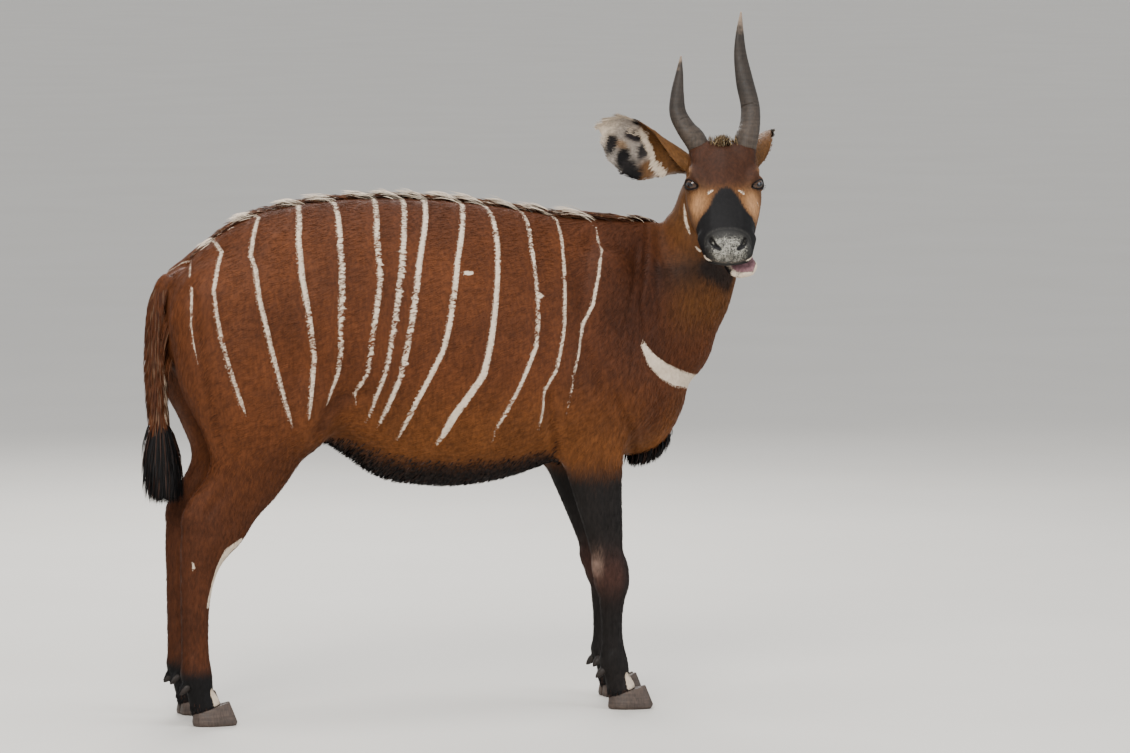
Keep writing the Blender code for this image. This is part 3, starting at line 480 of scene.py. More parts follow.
def refined(obj):
    """More faces on the muzzle."""
    x, y, z = in_head(places(obj)).T
    edit_some(obj, (x > MUZZLE_START) & (np.abs(y) < 0.10) & (z > -0.20))
    bpy.ops.mesh.subdivide(number_cuts=1)
    bpy.ops.mesh.select_all(action="DESELECT")
    leave_edit()
    x, y, z = in_head(places(obj)).T
    top = ramp(x, 0.225, 0.245) * ramp(-x, -0.315, -0.295) * ramp(z, -0.070, -0.052)
    soften(obj, top, 30)


def thinned(obj, strokes):
    """Fewer faces away from the head, and fewest away from the white marks."""
    for marked, kept in ((False, BODY_FACES_KEPT), (True, MARKED_FACES_KEPT)):
        points = places(obj)
        chosen = (head_share(points) < 0.02) & ((white_gap(points, strokes) < 0.006) == marked)
        edit_some(obj, chosen)
        bpy.ops.mesh.decimate(ratio=kept)
        bpy.ops.mesh.select_all(action="DESELECT")
        leave_edit()
    select_only(obj)
    bpy.ops.object.shade_smooth()


# Forms pressed into the skin, or raised where the depth is below 0: the path, the half width
# and the depth in millimetres. The body's paths are pixels of the picture
BODY_FORMS = [
    ([(186, 262), (193, 300), (199, 345), (208, 395), (220, 445)], 13, 6),
    ([(318, 436), (326, 414), (342, 398), (366, 396)], 19, 6),
    ([(549, 398), (553, 425), (557, 455)], 13, 7),
    ([(646, 232), (645, 262), (641, 300), (644, 332)], 6, 5),
    ([(656, 262), (656, 292), (660, 322)], 5, 3.5),
    ([(636, 250), (633, 285), (627, 320)], 9, 3.5),
    ([(592, 240), (580, 290), (584, 340), (600, 392)], 20, 6),
    ([(618, 400), (630, 425), (634, 450)], 12, 5),
    ([(276, 236), (266, 246)], 17, -6),
    ([(292, 262), (306, 286)], 30, 6),
    ([(240, 300), (248, 350)], 34, -5),
    ([(560, 330), (566, 380)], 30, -4),
]
# In the head's frame, one side
NOSTRIL = [(0.319, 0.022, -0.049), (0.314, 0.031, -0.045), (0.300, 0.038, -0.044), (0.288, 0.043, -0.046)]
HEAD_FORMS = [
    ([(0.128, 0.067, -0.036), (0.158, 0.061, -0.046), (0.184, 0.059, -0.056)], 5, 2.0),
    ([(0.078, 0.091, -0.062), (0.122, 0.082, -0.070), (0.165, 0.072, -0.070)], 9, -3.2),
    ([(0.064, 0.083, -0.014), (0.096, 0.080, -0.008), (0.126, 0.064, -0.012)], 8, -3.5),
    ([(0.050, 0.090, -0.165), (0.110, 0.080, -0.172), (0.155, 0.068, -0.155)], 10, 3.0),
    ([(0.150, 0.034, -0.014), (0.200, 0.038, -0.024), (0.250, 0.040, -0.036)], 8, -1.6),
    ([(0.165, 0.064, -0.050), (0.200, 0.062, -0.058), (0.238, 0.058, -0.066)], 11, 2.8),
    ([(0.255, 0.062, -0.074), (0.290, 0.056, -0.078), (0.316, 0.044, -0.080)], 15, -8.0),
    (NOSTRIL, 5.4, 12.0),
    ([(0.322, 0.039, -0.056), (0.304, 0.052, -0.056)], 6, -2.2),
    ([(0.338, 0.0, -0.056), (0.338, 0.0, -0.094)], 2.4, 2.0),
    ([(0.030, 0.0, 0.008), (0.090, 0.0, 0.004)], 16, -3.0),
]
# On one side only: the lower lip, which hangs to the animal's left
LIP_FORM = ([(0.312, 0.030, -0.126), (0.314, 0.054, -0.120), (0.292, 0.070, -0.112)], 11, -8.0)
# On the legs: height, share of the half depth ahead and share of the half width outward
LEG_FORMS = {
    "fore": [
        ([(0.600, 0.10, 1.0), (0.500, 0.05, 1.0), (0.430, -0.05, 1.0)], 9, 3.5),
        ([(0.255, -0.35, 1.0), (0.200, -0.35, 1.0), (0.150, -0.30, 1.0)], 5, 3.0),
        ([(0.255, -0.35, -1.0), (0.200, -0.35, -1.0), (0.150, -0.30, -1.0)], 5, 3.0),
        ([(0.350, 0.90, 0.0), (0.305, 0.95, 0.0)], 19, -4.5),
        ([(0.356, -0.95, 0.3), (0.340, -0.95, 0.2)], 13, -5.0),
        ([(0.395, 0.95, 0.5), (0.395, 0.95, -0.5)], 14, 3.0),
        ([(0.280, -0.95, 0.5), (0.280, -0.95, -0.5)], 13, 3.0),
        ([(0.124, -0.95, 0.5), (0.124, -0.95, -0.5)], 13, -4.0),
        ([(0.088, -0.95, 0.4), (0.088, -0.95, -0.4)], 12, 3.0),
        ([(0.088, 0.95, 0.6), (0.088, 0.95, -0.6)], 12, 2.0),
    ],
    "hind": [
        ([(0.650, -0.50, 1.0), (0.595, -0.52, 1.0), (0.550, -0.50, 1.0), (0.515, -0.48, 1.0)], 12, 8.0),
        ([(0.650, -0.50, -1.0), (0.595, -0.52, -1.0), (0.550, -0.50, -1.0), (0.515, -0.48, -1.0)], 12, 7.0),
        ([(0.508, -0.95, 0.0), (0.488, -0.95, 0.0)], 14, -5.0),
        ([(0.468, 0.25, 1.0), (0.440, 0.25, 1.0)], 15, -4.0),
        ([(0.468, 0.25, -1.0), (0.440, 0.25, -1.0)], 15, -4.0),
        ([(0.375, -0.40, 1.0), (0.300, -0.38, 1.0), (0.180, -0.32, 1.0)], 6, 3.5),
        ([(0.375, -0.40, -1.0), (0.300, -0.38, -1.0), (0.180, -0.32, -1.0)], 6, 3.5),
        ([(0.130, -0.95, 0.5), (0.130, -0.95, -0.5)], 13, -4.0),
        ([(0.092, -0.95, 0.4), (0.092, -0.95, -0.4)], 12, 3.0),
        ([(0.090, 0.95, 0.6), (0.090, 0.95, -0.6)], 12, 2.0),
    ],
}
# The dip between withers and nape is filled by muscle: its middle, reach and rise
NAPE = ((0.655, -0.012, 1.125), (0.060, 0.055, 0.065), 0.040)
SOCKET_DEPTH = 0.004


def surface_of(obj):
    faces = [tuple(face.vertices) for face in obj.data.polygons]
    return {"tree": BVHTree.FromPolygons(places(obj).tolist(), faces)}


def form_strokes(ground):
    """Every form as a path in the world, its half width and its depth in metres."""
    strokes = []
    for pixels, half, depth in BODY_FORMS:
        near = on_skin(pixels, ground)
        strokes += [(path, half, depth) for path in (near, mirrored(near, ground))]
    for path, half, depth in HEAD_FORMS:
        for side in (1, -1):
            if side > 0 or any(spot[1] != 0 for spot in path):
                strokes.append((transformed(np.array(path) * (1, side, 1), HEAD), half, depth))
    path, half, depth = LIP_FORM
    strokes.append((transformed(np.array(path), HEAD), half, depth))
    for leg in LEGS:
        for spots, half, depth in LEG_FORMS[leg.split("_")[0]]:
            strokes.append((np.array([leg_spot(leg, *spot) for spot in spots]), half, depth))
    return [(path, half * MILLIMETRE, depth * MILLIMETRE) for path, half, depth in strokes]


def relief(obj):
    """Muscles, folds, joints and the forms of the face."""
    points = places(obj)
    normals = normals_of(obj)
    pressed = np.zeros(len(points))
    for path, half, depth in form_strokes(surface_of(obj)):
        gap = to_path(points, path, 0.0, reach=3 * half)
        pressed += depth * np.exp(-(gap / half) ** 2) * (gap < 3 * half)
    points = points - normals * pressed[:, None]
    middle, reach, rise = NAPE
    lift = np.exp(-(((in_body(points) - middle) / reach) ** 2).sum(axis=1))
    points[:, 2] += rise * lift
    set_places(obj, points)
    soften(obj, np.where(head_share(points) > 0.5, 0.25, 1.0), 2)
    points = places(obj)
    for side in ("left", "right"):
        into = eye_frame(side)
        x, y, z = transformed(points, into.inverted()).T
        rim = np.sqrt((x / EYE_OPENING[0]) ** 2 + (y / EYE_OPENING[1]) ** 2)
        under = np.sqrt(np.maximum(EYE_RADIUS ** 2 - x * x - y * y, 0.0)) - SOCKET_DEPTH
        close = (z > -0.005) & (z < 0.04) & (rim < 1.5)
        share = ramp(-rim, -1.45, -1.15)
        z = np.where(close, z + (np.minimum(z, under) - z) * share, z)
        points = transformed(np.column_stack([x, y, z]), into)
    set_places(obj, points)


# Where things lie, read off the picture: each place is a pixel, and a line from the camera
# through it meets the skin there
def seen_from_camera(pixel):
    """The direction in which the camera sees a pixel of the picture."""
    x, y = pixel
    across = (x - PICTURE[0] / 2) * PIXEL
    up = (PICTURE[1] / 2 - y) * PIXEL
    return (LOOK * CAMERA_DISTANCE + RIGHT * across + UPWARD * up).normalized()


def on_skin(pixels, ground):
    """The places on the skin that the camera sees at these pixels."""
    found = []
    for pixel in pixels:
        spot, _, _, _ = ground["tree"].ray_cast(CAMERA_PLACE, seen_from_camera(pixel))
        if spot is not None:
            found.append(spot)
    return np.array(found)


def nearest_on_skin(path, ground):
    return np.array([ground["tree"].find_nearest(Vector(place))[0] for place in path])


def half_widths(halves, path):
    """The half widths in metres of the places that were found."""
    return np.array(halves[:len(path)]) * MILLIMETRE


def filled_in(path, spacing=0.03):
    """A path with more places on it, so that it keeps to a round surface."""
    result = [path[0]]
    for start, end in zip(path, path[1:]):
        count = max(1, int(np.linalg.norm(np.subtract(end, start)) / spacing))
        for step in range(1, count + 1):
            result.append(np.add(start, np.subtract(end, start) * step / count))
    return np.array(result)


def to_path(points, path, widths, reach=FAR):
    """How far each point lies outside a stroke along the path; far away it is just `reach`."""
    result = np.full(len(points), reach)
    path = np.asarray(path, dtype=float)
    widths = np.broadcast_to(np.asarray(widths, dtype=float), len(path))
    edge = reach + widths.max()
    inside = np.all((points > path.min(axis=0) - edge) & (points < path.max(axis=0) + edge), axis=1)
    chosen = np.flatnonzero(inside)
    near = points[chosen]
    best = np.full(len(near), reach)
    for start, end, first, last in zip(path, path[1:], widths, widths[1:]):
        step = end - start
        share = np.clip(((near - start) @ step) / max(step @ step, 1e-12), 0, 1)
        gap = lengths(near - start - share[:, None] * step) - (first + (last - first) * share)
        best = np.minimum(best, gap)
    result[chosen] = best
    return result


# The stripes of the flank from rump to withers: pixels down the stripe, and its half width
# at the top, in the middle and at the foot
STRIPES = [
    ([(191, 262), (190, 275), (192, 290), (191, 325), (194, 345), (198, 365)], (2, 3, 1)),
    ([(229, 222), (222, 252), (214, 290), (217, 315), (222, 340), (229, 365), (246, 416)], (4, 4, 4)),
    ([(255, 208), (259, 218), (251, 255), (256, 270), (260, 300), (272, 350), (285, 400), (293, 428)],
     (4, 5, 4)),
    ([(300, 205), (299, 240), (303, 280), (313, 340), (315, 360), (309, 420)], (5, 6, 4)),
    ([(336, 205), (341, 245), (343, 270), (341, 330), (342, 350), (338, 375), (326, 407)], (5.5, 6.2, 3.5)),
    ([(375, 200), (377, 235), (381, 280), (375, 325), (369, 372), (355, 393), (356, 405)], (5.2, 6.2, 3.5)),
    ([(403, 200), (405, 225), (401, 280), (393, 340), (387, 370), (366, 425)], (5.2, 6.2, 3.5)),
    ([(425, 200), (420, 260), (414, 315), (402, 375), (377, 430)], (5.2, 6.4, 4.5)),
    ([(463, 205), (458, 260), (451, 320), (444, 350), (418, 400), (397, 440)], (5, 6, 5)),
    ([(508, 208), (498, 245), (498, 275), (491, 345), (484, 375), (455, 415), (437, 445)], (5, 6, 9)),
    ([(538, 208), (532, 250), (539, 310), (537, 345), (521, 385), (499, 425), (492, 442)], (4, 5, 4)),
    ([(571, 215), (563, 250), (565, 320), (557, 370), (545, 390), (539, 430)], (4, 4, 3)),
    ([(611, 205), (602, 250), (593, 305), (583, 325), (574, 375), (566, 415)], (2, 4, 2)),
]
SPOT_SEEN = [(466, 273), (472, 273)]
# White on the upper foreleg's inner side, and a scar
LEG_MARKS_SEEN = [
    ([(622, 462), (624, 476), (623, 490)], (7, 13, 6)),
    ([(193, 563), (194, 568)], (3, 3)),
]
# White down the front of each hock: pixels on the near leg, and on the far one height,
# shares ahead and outward
HOCK_SEEN = [(241, 540), (228, 551), (219, 567), (212, 588), (208, 606), (209, 626)]
HOCK_FAR = [(0.448, 0.85, 0.45), (0.415, 0.85, 0.50), (0.360, 0.85, 0.50), (0.300, 0.85, 0.45),
            (0.260, 0.85, 0.45), (0.225, 0.85, 0.40)]
HOCK_HALF = (5, 11, 9, 7, 5, 3)
CRESCENT_SEEN = [(642, 338), (645, 348), (652, 360), (663, 370), (676, 377), (690, 380)]
CRESCENT_HALF = (2, 8, 15, 19, 20, 18)


# Darker and lighter places read off the picture, here all painted shade: shade in the folds of the neck and
# the flank, and painted shadow of the head over the throat's
# dark hair under the jaw. Columns: pixels, half width in millimetres, colour, strength, and whether the other
# side has it too
SHADE_TINTS_SEEN = [
    # Painted shadow of the head over the throat's own dark hair, under the jaw
    ([(710, 267), (718, 272), (728, 279)], 25, BLACK_HAIR, 0.82, False),
    # Painted shade in the fold where the neck meets the shoulder
    ([(640, 246), (640, 290), (634, 330)], 22, DEEP_CHESTNUT, 0.60, True),
    # Painted shade in the fold before the stifle, where the belly tucks up
    ([(324, 426), (331, 408), (345, 400)], 20, DEEP_CHESTNUT, 0.55, True),
    # Painted shade along a fold of the neck
    ([(650, 262), (652, 300), (656, 330)], 7, DEEP_CHESTNUT, 0.50, True),
]


def shade_tint_strokes(ground):
    """Each painted shade, and the throat's dark hair under its painted shadow, as a path on the skin, its
    half width, colour and strength.
    """
    strokes = []
    for pixels, half, colour, strength, both in SHADE_TINTS_SEEN:
        paths = [on_skin(pixels, ground)]
        if both:
            paths.append(mirrored(paths[0], ground))
        strokes += [(path, half * MILLIMETRE, colour, strength) for path in paths]
    return strokes


def mirrored(path, ground):
    """The same path on the body's other side."""
    return nearest_on_skin(path * (1, -1, 1) + (0, 2 * BODY_PLACE.y, 0), ground)


def stripe_strokes(ground):
    """Every stripe of both sides as a path on the skin and its half widths."""
    strokes = []
    draw = np.random.default_rng(3)
    middle = BODY_PLACE.y
    for pixels, (top, centre, foot) in STRIPES:
        near = on_skin(pixels, ground)
        head = near[0].copy()
        head[1] = middle
        head[2] = BODY_PLACE.z + np.interp(head[0] - BODY_PLACE.x, *zip(*BACK_LINE))
        for side in (1, -1):
            path = np.vstack([head, near])
            if side < 0:
                path = path * (1, -1, 1) + (0, 2 * middle, 0)
                wander = draw.uniform(-0.010, 0.010) + draw.uniform(-0.003, 0.003, len(path))
                path[1:, 0] += wander[1:]
            path = nearest_on_skin(filled_in(path), ground)
            shares = np.linspace(0, 1, len(path))
            halves = np.interp(shares, (0, 0.5, 0.93, 1), (top, centre, foot, foot * 0.3)) * MILLIMETRE
            strokes.append((path, halves))
    return strokes


# White marks of the head in its own frame, one side: path and half width in millimetres
HEAD_MARKS = [
    ([(0.151, 0.031, -0.014), (0.155, 0.042, -0.018)], (2.2, 3.2)),
    ([(0.284, 0.056, -0.088), (0.311, 0.050, -0.079), (0.328, 0.034, -0.072), (0.333, 0.006, -0.079)],
     (1.5, 2.4, 2.6, 2.0)),
]
# The pale streaks at the edge of the cheek: pixels on one side, and places in the head's frame on
# the other
STREAKS_SEEN = [
    ([(684, 204), (685, 213), (686, 221), (688, 228), (690, 234)], (1.6, 3.4, 3.8, 3.4, 1.6)),
    ([(696, 247), (700, 251), (705, 256)], (1.6, 2.8, 1.8)),
]
FAR_STREAK = ([(0.146, 0.077, -0.050), (0.150, 0.079, -0.066), (0.158, 0.081, -0.088)], (1.2, 2.4, 1.4))
JAW_MARK = [
    (0.290, 0.003, -0.121), (0.318, 0.018, -0.126), (0.322, 0.048, -0.126), (0.300, 0.074, -0.120),
    (0.282, 0.078, -0.106),
]


def white_strokes(ground):
    """Every white mark as a path on the skin and its half widths."""
    strokes = stripe_strokes(ground)
    strokes.append((on_skin(SPOT_SEEN, ground), 5 * MILLIMETRE))
    near = on_skin(CRESCENT_SEEN, ground)
    halves = half_widths(CRESCENT_HALF, near)
    far = mirrored(near, ground)
    across = []
    for place in filled_in([near[-1], far[-1]], 0.012):
        ahead = Vector(place) + Vector((0.3, 0.0, 0.0))
        hit = ground["tree"].ray_cast(ahead, Vector((-1.0, 0.0, 0.0)))[0]
        across.append(hit or place)
    strokes += [(near, halves), (far, halves), (np.array(across), halves[-1])]
    path = on_skin(HOCK_SEEN, ground)
    strokes.append((path, half_widths(HOCK_HALF, path)))
    path = nearest_on_skin([leg_spot("hind_left", *spot) for spot in HOCK_FAR], ground)
    strokes.append((path, half_widths(HOCK_HALF, path)))
    for pixels, halves in LEG_MARKS_SEEN:
        path = on_skin(pixels, ground)
        halves = half_widths(halves, path)
        strokes += [(path, halves), (mirrored(path, ground), halves)]
    for path, halves in HEAD_MARKS:
        for side in (1, -1):
            spots = filled_in(np.array(path) * (1, side, 1), 0.006)
            halves_there = np.interp([spot[0] for spot in spots], [spot[0] for spot in path], halves)
            spots = nearest_on_skin(transformed(spots, HEAD), ground)
            strokes.append((spots, halves_there * MILLIMETRE))
    for pixels, halves in STREAKS_SEEN:
        path = on_skin(pixels, ground)
        strokes.append((path, half_widths(halves, path)))
    strokes.append((transformed(np.array(FAR_STREAK[0]), HEAD), np.array(FAR_STREAK[1]) * MILLIMETRE))
    strokes.append((transformed(np.array(JAW_MARK), HEAD), 10 * MILLIMETRE))
    for leg in LEGS:
        strokes += leg_whites(leg)
    return strokes


def leg_whites(leg):
    """The two white patches on one pastern."""
    strokes = []
    for hand in (-1, 1):
        path = [pastern_spot(leg, height, 0.92, 0.42 * hand) for height in (0.088, 0.062)]
        strokes.append((np.array(path), np.array((11, 15)) * MILLIMETRE))
    return strokes


def white_gap(points, strokes):
    """How far each point lies outside the nearest white mark; negative inside."""
    gap = np.full(len(points), FAR)
    for path, halves in strokes:
        gap = np.minimum(gap, to_path(points, path, halves))
    return gap


def blend(colours, other, share):
    return colours + (np.array(other) - colours) * np.clip(share, 0, 1)[:, None]


def body_tone(points, normals):
    """The coat's colour without its white marks, on the body and the legs."""
    x, y, z = in_body(points).T
    colours = np.tile(CHESTNUT, (len(points), 1)).astype(float)
    flank = ramp(-z, -0.86, -0.62) * ramp(x, -0.36, -0.10) * ramp(-x, -0.64, -0.50)
    colours = blend(colours, CINNAMON, 0.60 * flank)
    colours = blend(colours, DEEP_CHESTNUT, 0.55 * ramp(z, 1.12, 1.24))
    shoulder = hump(x, 0.56, 0.15) * hump(z, 1.00, 0.26)
    colours = blend(colours, DEEP_CHESTNUT, 0.95 * shoulder)
    neck = ramp(x, 0.60, 0.70) * ramp(z, 0.86, 0.98)
    colours = blend(colours, NECK_ORANGE, 0.85 * neck)
    nape = neck * ramp(y + 0.5 * (0.70 - x), 0.0, 0.06)
    colours = blend(colours, DEEP_CHESTNUT, 0.6 * nape)
    between = hump(x, 0.60, 0.08) * ramp(-z, -0.86, -0.74) * ramp(-np.abs(y), -0.12, -0.06)
    colours = blend(colours, CINNAMON, 0.8 * between)
    rear = ramp(-x, 0.50, 0.60) * ramp(-z, -1.0, -0.8)
    colours = blend(colours, DEEP_CHESTNUT, 0.5 * rear)
    belly = ramp(-normals[:, 2], 0.55, 0.88) * ramp(-z, -0.70, -0.62) * ramp(x, -0.30, -0.20)
    belly *= ramp(-x, -0.46, -0.36)
    colours = blend(colours, BLACK_HAIR, 0.92 * belly)
    brisket = hump(x, 0.625, 0.045) * ramp(-z, -0.665, -0.645) * ramp(-np.abs(y), -0.06, -0.03)
    colours = blend(colours, BLACK_HAIR, brisket)
    fore = ramp(x, 0.30, 0.36)
    colours = blend(colours, LEG_BLACK, fore * ramp(-z, -0.625, -0.550))
    knee = fore * hump(z, 0.335, 0.050) * ramp(-(x - 0.515), -0.030, 0.015)
    colours = blend(colours, (0.050, 0.020, 0.014), 0.75 * knee)
    behind_knee = fore * hump(z, 0.360, 0.026) * ramp(-(x - 0.466), -0.008, 0.010)
    colours = blend(colours, (0.20, 0.13, 0.10), 0.8 * behind_knee)
    hind = ramp(-x, 0.20, 0.30)
    colours = blend(colours, DEEP_CHESTNUT, 0.60 * hind * ramp(-z, -0.70, -0.45))
    cannon_back = hind * ramp(-z, -0.50, -0.40) * ramp(-x, 0.545, 0.565)
    colours = blend(colours, DEEP_CHESTNUT, 0.5 * cannon_back)
    colours = blend(colours, BLACK_HAIR, hind * ramp(-z, -0.160, -0.120))
    return colours


def head_tone(points, below):
    """The coat's colour on the head, without its white marks. `below` is the neck's colour."""
    x, y, z = in_head(points).T
    side = np.abs(y)
    colours = blend(below, (0.088, 0.0350, 0.0100), ramp(z, -0.22, -0.13))
    crown = ramp(z, -0.052, -0.022) * ramp(-x, -0.165, -0.125)
    colours = blend(colours, (0.034, 0.0118, 0.0048), crown)
    cheek = hump(x, 0.168, 0.036) * hump(side, 0.062, 0.024) * hump(z, -0.048, 0.032)
    colours = blend(colours, PEACH, 0.9 * cheek)
    brow = hump(x, 0.082, 0.012) * hump(side, 0.090, 0.010) * hump(z, -0.014, 0.012)
    colours = blend(colours, PEACH, 0.8 * brow)
    bridge_half = np.interp(
        x, (0.142, 0.152, 0.172, 0.190, 0.205, 0.212, 0.224), (0.0, 0.016, 0.031, 0.038, 0.050, 0.066, 0.100)
    )
    bridge = ramp(bridge_half - side, -0.005, 0.005) * ramp(x, 0.140, 0.152) * ramp(z, -0.100, -0.075)
    muzzle = ramp(x - 0.35 * (z + 0.05), 0.232, 0.262)
    colours = blend(colours, BLACK_HAIR, np.maximum(bridge, muzzle))
    chin = ramp(-z, 0.128, 0.142) * ramp(x, 0.150, 0.200)
    colours = blend(colours, BLACK_HAIR, chin)
    return colours


def nostril_gap(points):
    """How far each point lies from the middle line of the nearer nostril."""
    local = in_head(points)
    local[:, 1] = np.abs(local[:, 1])
    return to_path(local, NOSTRIL, 0.0)


def bare_share(points):
    """1 on the bare pad of the nose."""
    x, y, z = in_head(points).T
    across = (y / 0.058) ** 2
    front = ((z + 0.053) / 0.034) ** 2
    return ramp(1.20 - across - front, 0.0, 1.0) * ramp(x, 0.252, 0.304)


def mouth_share(points):
    """1 inside the mouth."""
    x, y, z = in_head(points).T
    inside = ramp(-np.abs(y - 0.036), -0.034, -0.026) * ramp(x, 0.225, 0.240) * ramp(-x, -0.334, -0.322)
    return inside * ramp(-z, 0.0955, 0.0975) * ramp(z, -0.1185, -0.1150)


def coat_tone(points, normals, shade_tints):
    """The coat's colour with painted shade in folds and nostrils, and how bare the skin is."""
    head = head_share(points)
    colours = body_tone(points, normals)
    colours += (head_tone(points, colours) - colours) * head[:, None]
    # Painted shade in the folds of the neck and the flank, and painted shadow under the jaw over the throat's
    # dark hair
    for path, half, colour, strength in shade_tints:
        gap = to_path(points, path, 0.0, reach=2 * half)
        colours = blend(colours, colour, strength * ramp(-gap, -1.6 * half, -0.5 * half))
    bare = bare_share(points) * head
    colours = blend(colours, PAD_GREY, ramp(bare, 0.06, 0.55))
    # Painted shade: the nostrils' openings are coloured black
    colours = blend(colours, BLACK_HAIR, ramp(-nostril_gap(points), -0.0080, -0.0058) * head)
    return blend(colours, MOUTH_MAUVE, mouth_share(points) * head), bare


def write_colours(mesh, name, values):
    layer = mesh.attributes.new(name, "FLOAT_COLOR", "POINT")
    table = np.ones((len(values), 4), np.float32)
    table[:, :3] = values
    layer.data.foreach_set("color", table.ravel())


# Materials
def shader_of(name):
    made = bpy.data.materials.new(name)
    made.use_nodes = True
    tree = made.node_tree
    return made, tree, tree.nodes["Principled BSDF"]


def node(tree, kind, **values):
    """A shader node with its sockets set by name."""
    made = tree.nodes.new(kind)
    for key, value in values.items():
        if key in made.bl_rna.properties:
            setattr(made, key, value)
        else:
            made.inputs[key.replace("_", " ").title()].default_value = value
    return made


def noise(tree, scale, detail, stretch=(1.0, 1.0, 1.0), distortion=0.0):
    """A noise on object coordinates, with features about 1 / scale metres across."""
    place = node(tree, "ShaderNodeTexCoord")
    mapping = node(tree, "ShaderNodeMapping")
    mapping.inputs["Scale"].default_value = stretch
    tree.links.new(place.outputs["Object"], mapping.inputs["Vector"])
    made = node(tree, "ShaderNodeTexNoise", Scale=scale, Detail=detail, Distortion=distortion)
    tree.links.new(mapping.outputs["Vector"], made.inputs["Vector"])
    return made.outputs["Fac"]


def sum_of(tree, operation, *values):
    """A math node on two or three values, each a socket or a number."""
    made = node(tree, "ShaderNodeMath", operation=operation)
    for socket, value in zip(made.inputs, values):
        if isinstance(value, (int, float)):
            socket.default_value = value
        else:
            tree.links.new(value, socket)
    return made.outputs["Value"]


def spread(tree, value, low, high, to_low=0.0, to_high=1.0):
    made = node(tree, "ShaderNodeMapRange")
    made.interpolation_type = "SMOOTHSTEP"
    tree.links.new(value, made.inputs["Value"])
    for name, number in zip(("From Min", "From Max", "To Min", "To Max"), (low, high, to_low, to_high)):
        made.inputs[name].default_value = number
    return made.outputs["Result"]


def mixed(tree, share, first, second, kind="MIX"):
    made = node(tree, "ShaderNodeMix")
    made.data_type = "RGBA"
    made.blend_type = kind
    sockets = (made.inputs["Factor"], made.inputs[6], made.inputs[7])
    for socket, value in zip(sockets, (share, first, second)):
        if isinstance(value, (int, float)):
            socket.default_value = value
        elif isinstance(value, tuple):
            socket.default_value = (*value, 1.0)
        else:
            tree.links.new(value, socket)
    return made.outputs[2]


def attribute(tree, name, output="Fac"):
    made = node(tree, "ShaderNodeAttribute")
    made.attribute_name = name
    return made.outputs[output]


def bump(tree, shader, height, distance, strength):
    made = node(tree, "ShaderNodeBump")
    made.inputs["Distance"].default_value = distance
    made.inputs["Strength"].default_value = strength
    tree.links.new(height, made.inputs["Height"])
    tree.links.new(made.outputs["Normal"], shader.inputs["Normal"])


def coat_stuff():
    """Hair and the skin under it: one material, so that their marks run on."""
    made, tree, shader = shader_of("coat")
    broad = noise(tree, 9.0, 3.0)
    fine = noise(tree, 150.0, 3.0, (1.0, 1.0, 0.35))
    bare = attribute(tree, "bare")
    tone = attribute(tree, "tone", "Color")
    shade = sum_of(tree, "MULTIPLY", spread(tree, broad, 0.3, 0.7, 0.84, 1.14),
                   spread(tree, fine, 0.3, 0.7, 0.80, 1.18))
    toned = node(tree, "ShaderNodeVectorMath", operation="SCALE")
    tree.links.new(tone, toned.inputs[0])
    tree.links.new(shade, toned.inputs["Scale"])
    edge = sum_of(tree, "MULTIPLY_ADD", sum_of(tree, "SUBTRACT", noise(tree, 420.0, 2.0), 0.5), 0.003,
                  attribute(tree, "white"))
    white = spread(tree, edge, -0.0008, 0.0010, 1.0, 0.0)
    dirt = spread(tree, noise(tree, 60.0, 4.0), 0.35, 0.75, 0.0, 0.35)
    cream = mixed(tree, dirt, CREAM, (0.38, 0.28, 0.19))
    colour = mixed(tree, white, toned.outputs["Vector"], cream)
    pebbles = node(tree, "ShaderNodeTexVoronoi", Scale=430.0)
    place = node(tree, "ShaderNodeTexCoord")
    tree.links.new(place.outputs["Object"], pebbles.inputs["Vector"])
    patchy = sum_of(tree, "MULTIPLY_ADD", noise(tree, 70.0, 3.0), 0.9, -0.62)
    gaps = sum_of(tree, "SUBTRACT", pebbles.outputs["Distance"], sum_of(tree, "ADD", bare, patchy))
    speckle = sum_of(tree, "MULTIPLY", spread(tree, gaps, -0.45, -0.10), spread(tree, bare, 0.02, 0.25))
    colour = mixed(tree, sum_of(tree, "MULTIPLY", speckle, 0.93), colour, BLACK_HAIR)
    tree.links.new(colour, shader.inputs["Base Color"])
    tree.links.new(spread(tree, bare, 0.0, 1.0, 0.62, 0.40), shader.inputs["Roughness"])
    pad = sum_of(tree, "MULTIPLY", sum_of(tree, "SUBTRACT", 0.6, pebbles.outputs["Distance"]), bare)
    height = sum_of(tree, "ADD", sum_of(tree, "MULTIPLY", fine, 0.6), pad)
    bump(tree, shader, height, 0.0010, 0.55)
    shader.inputs["Specular IOR Level"].default_value = 0.13
    return made


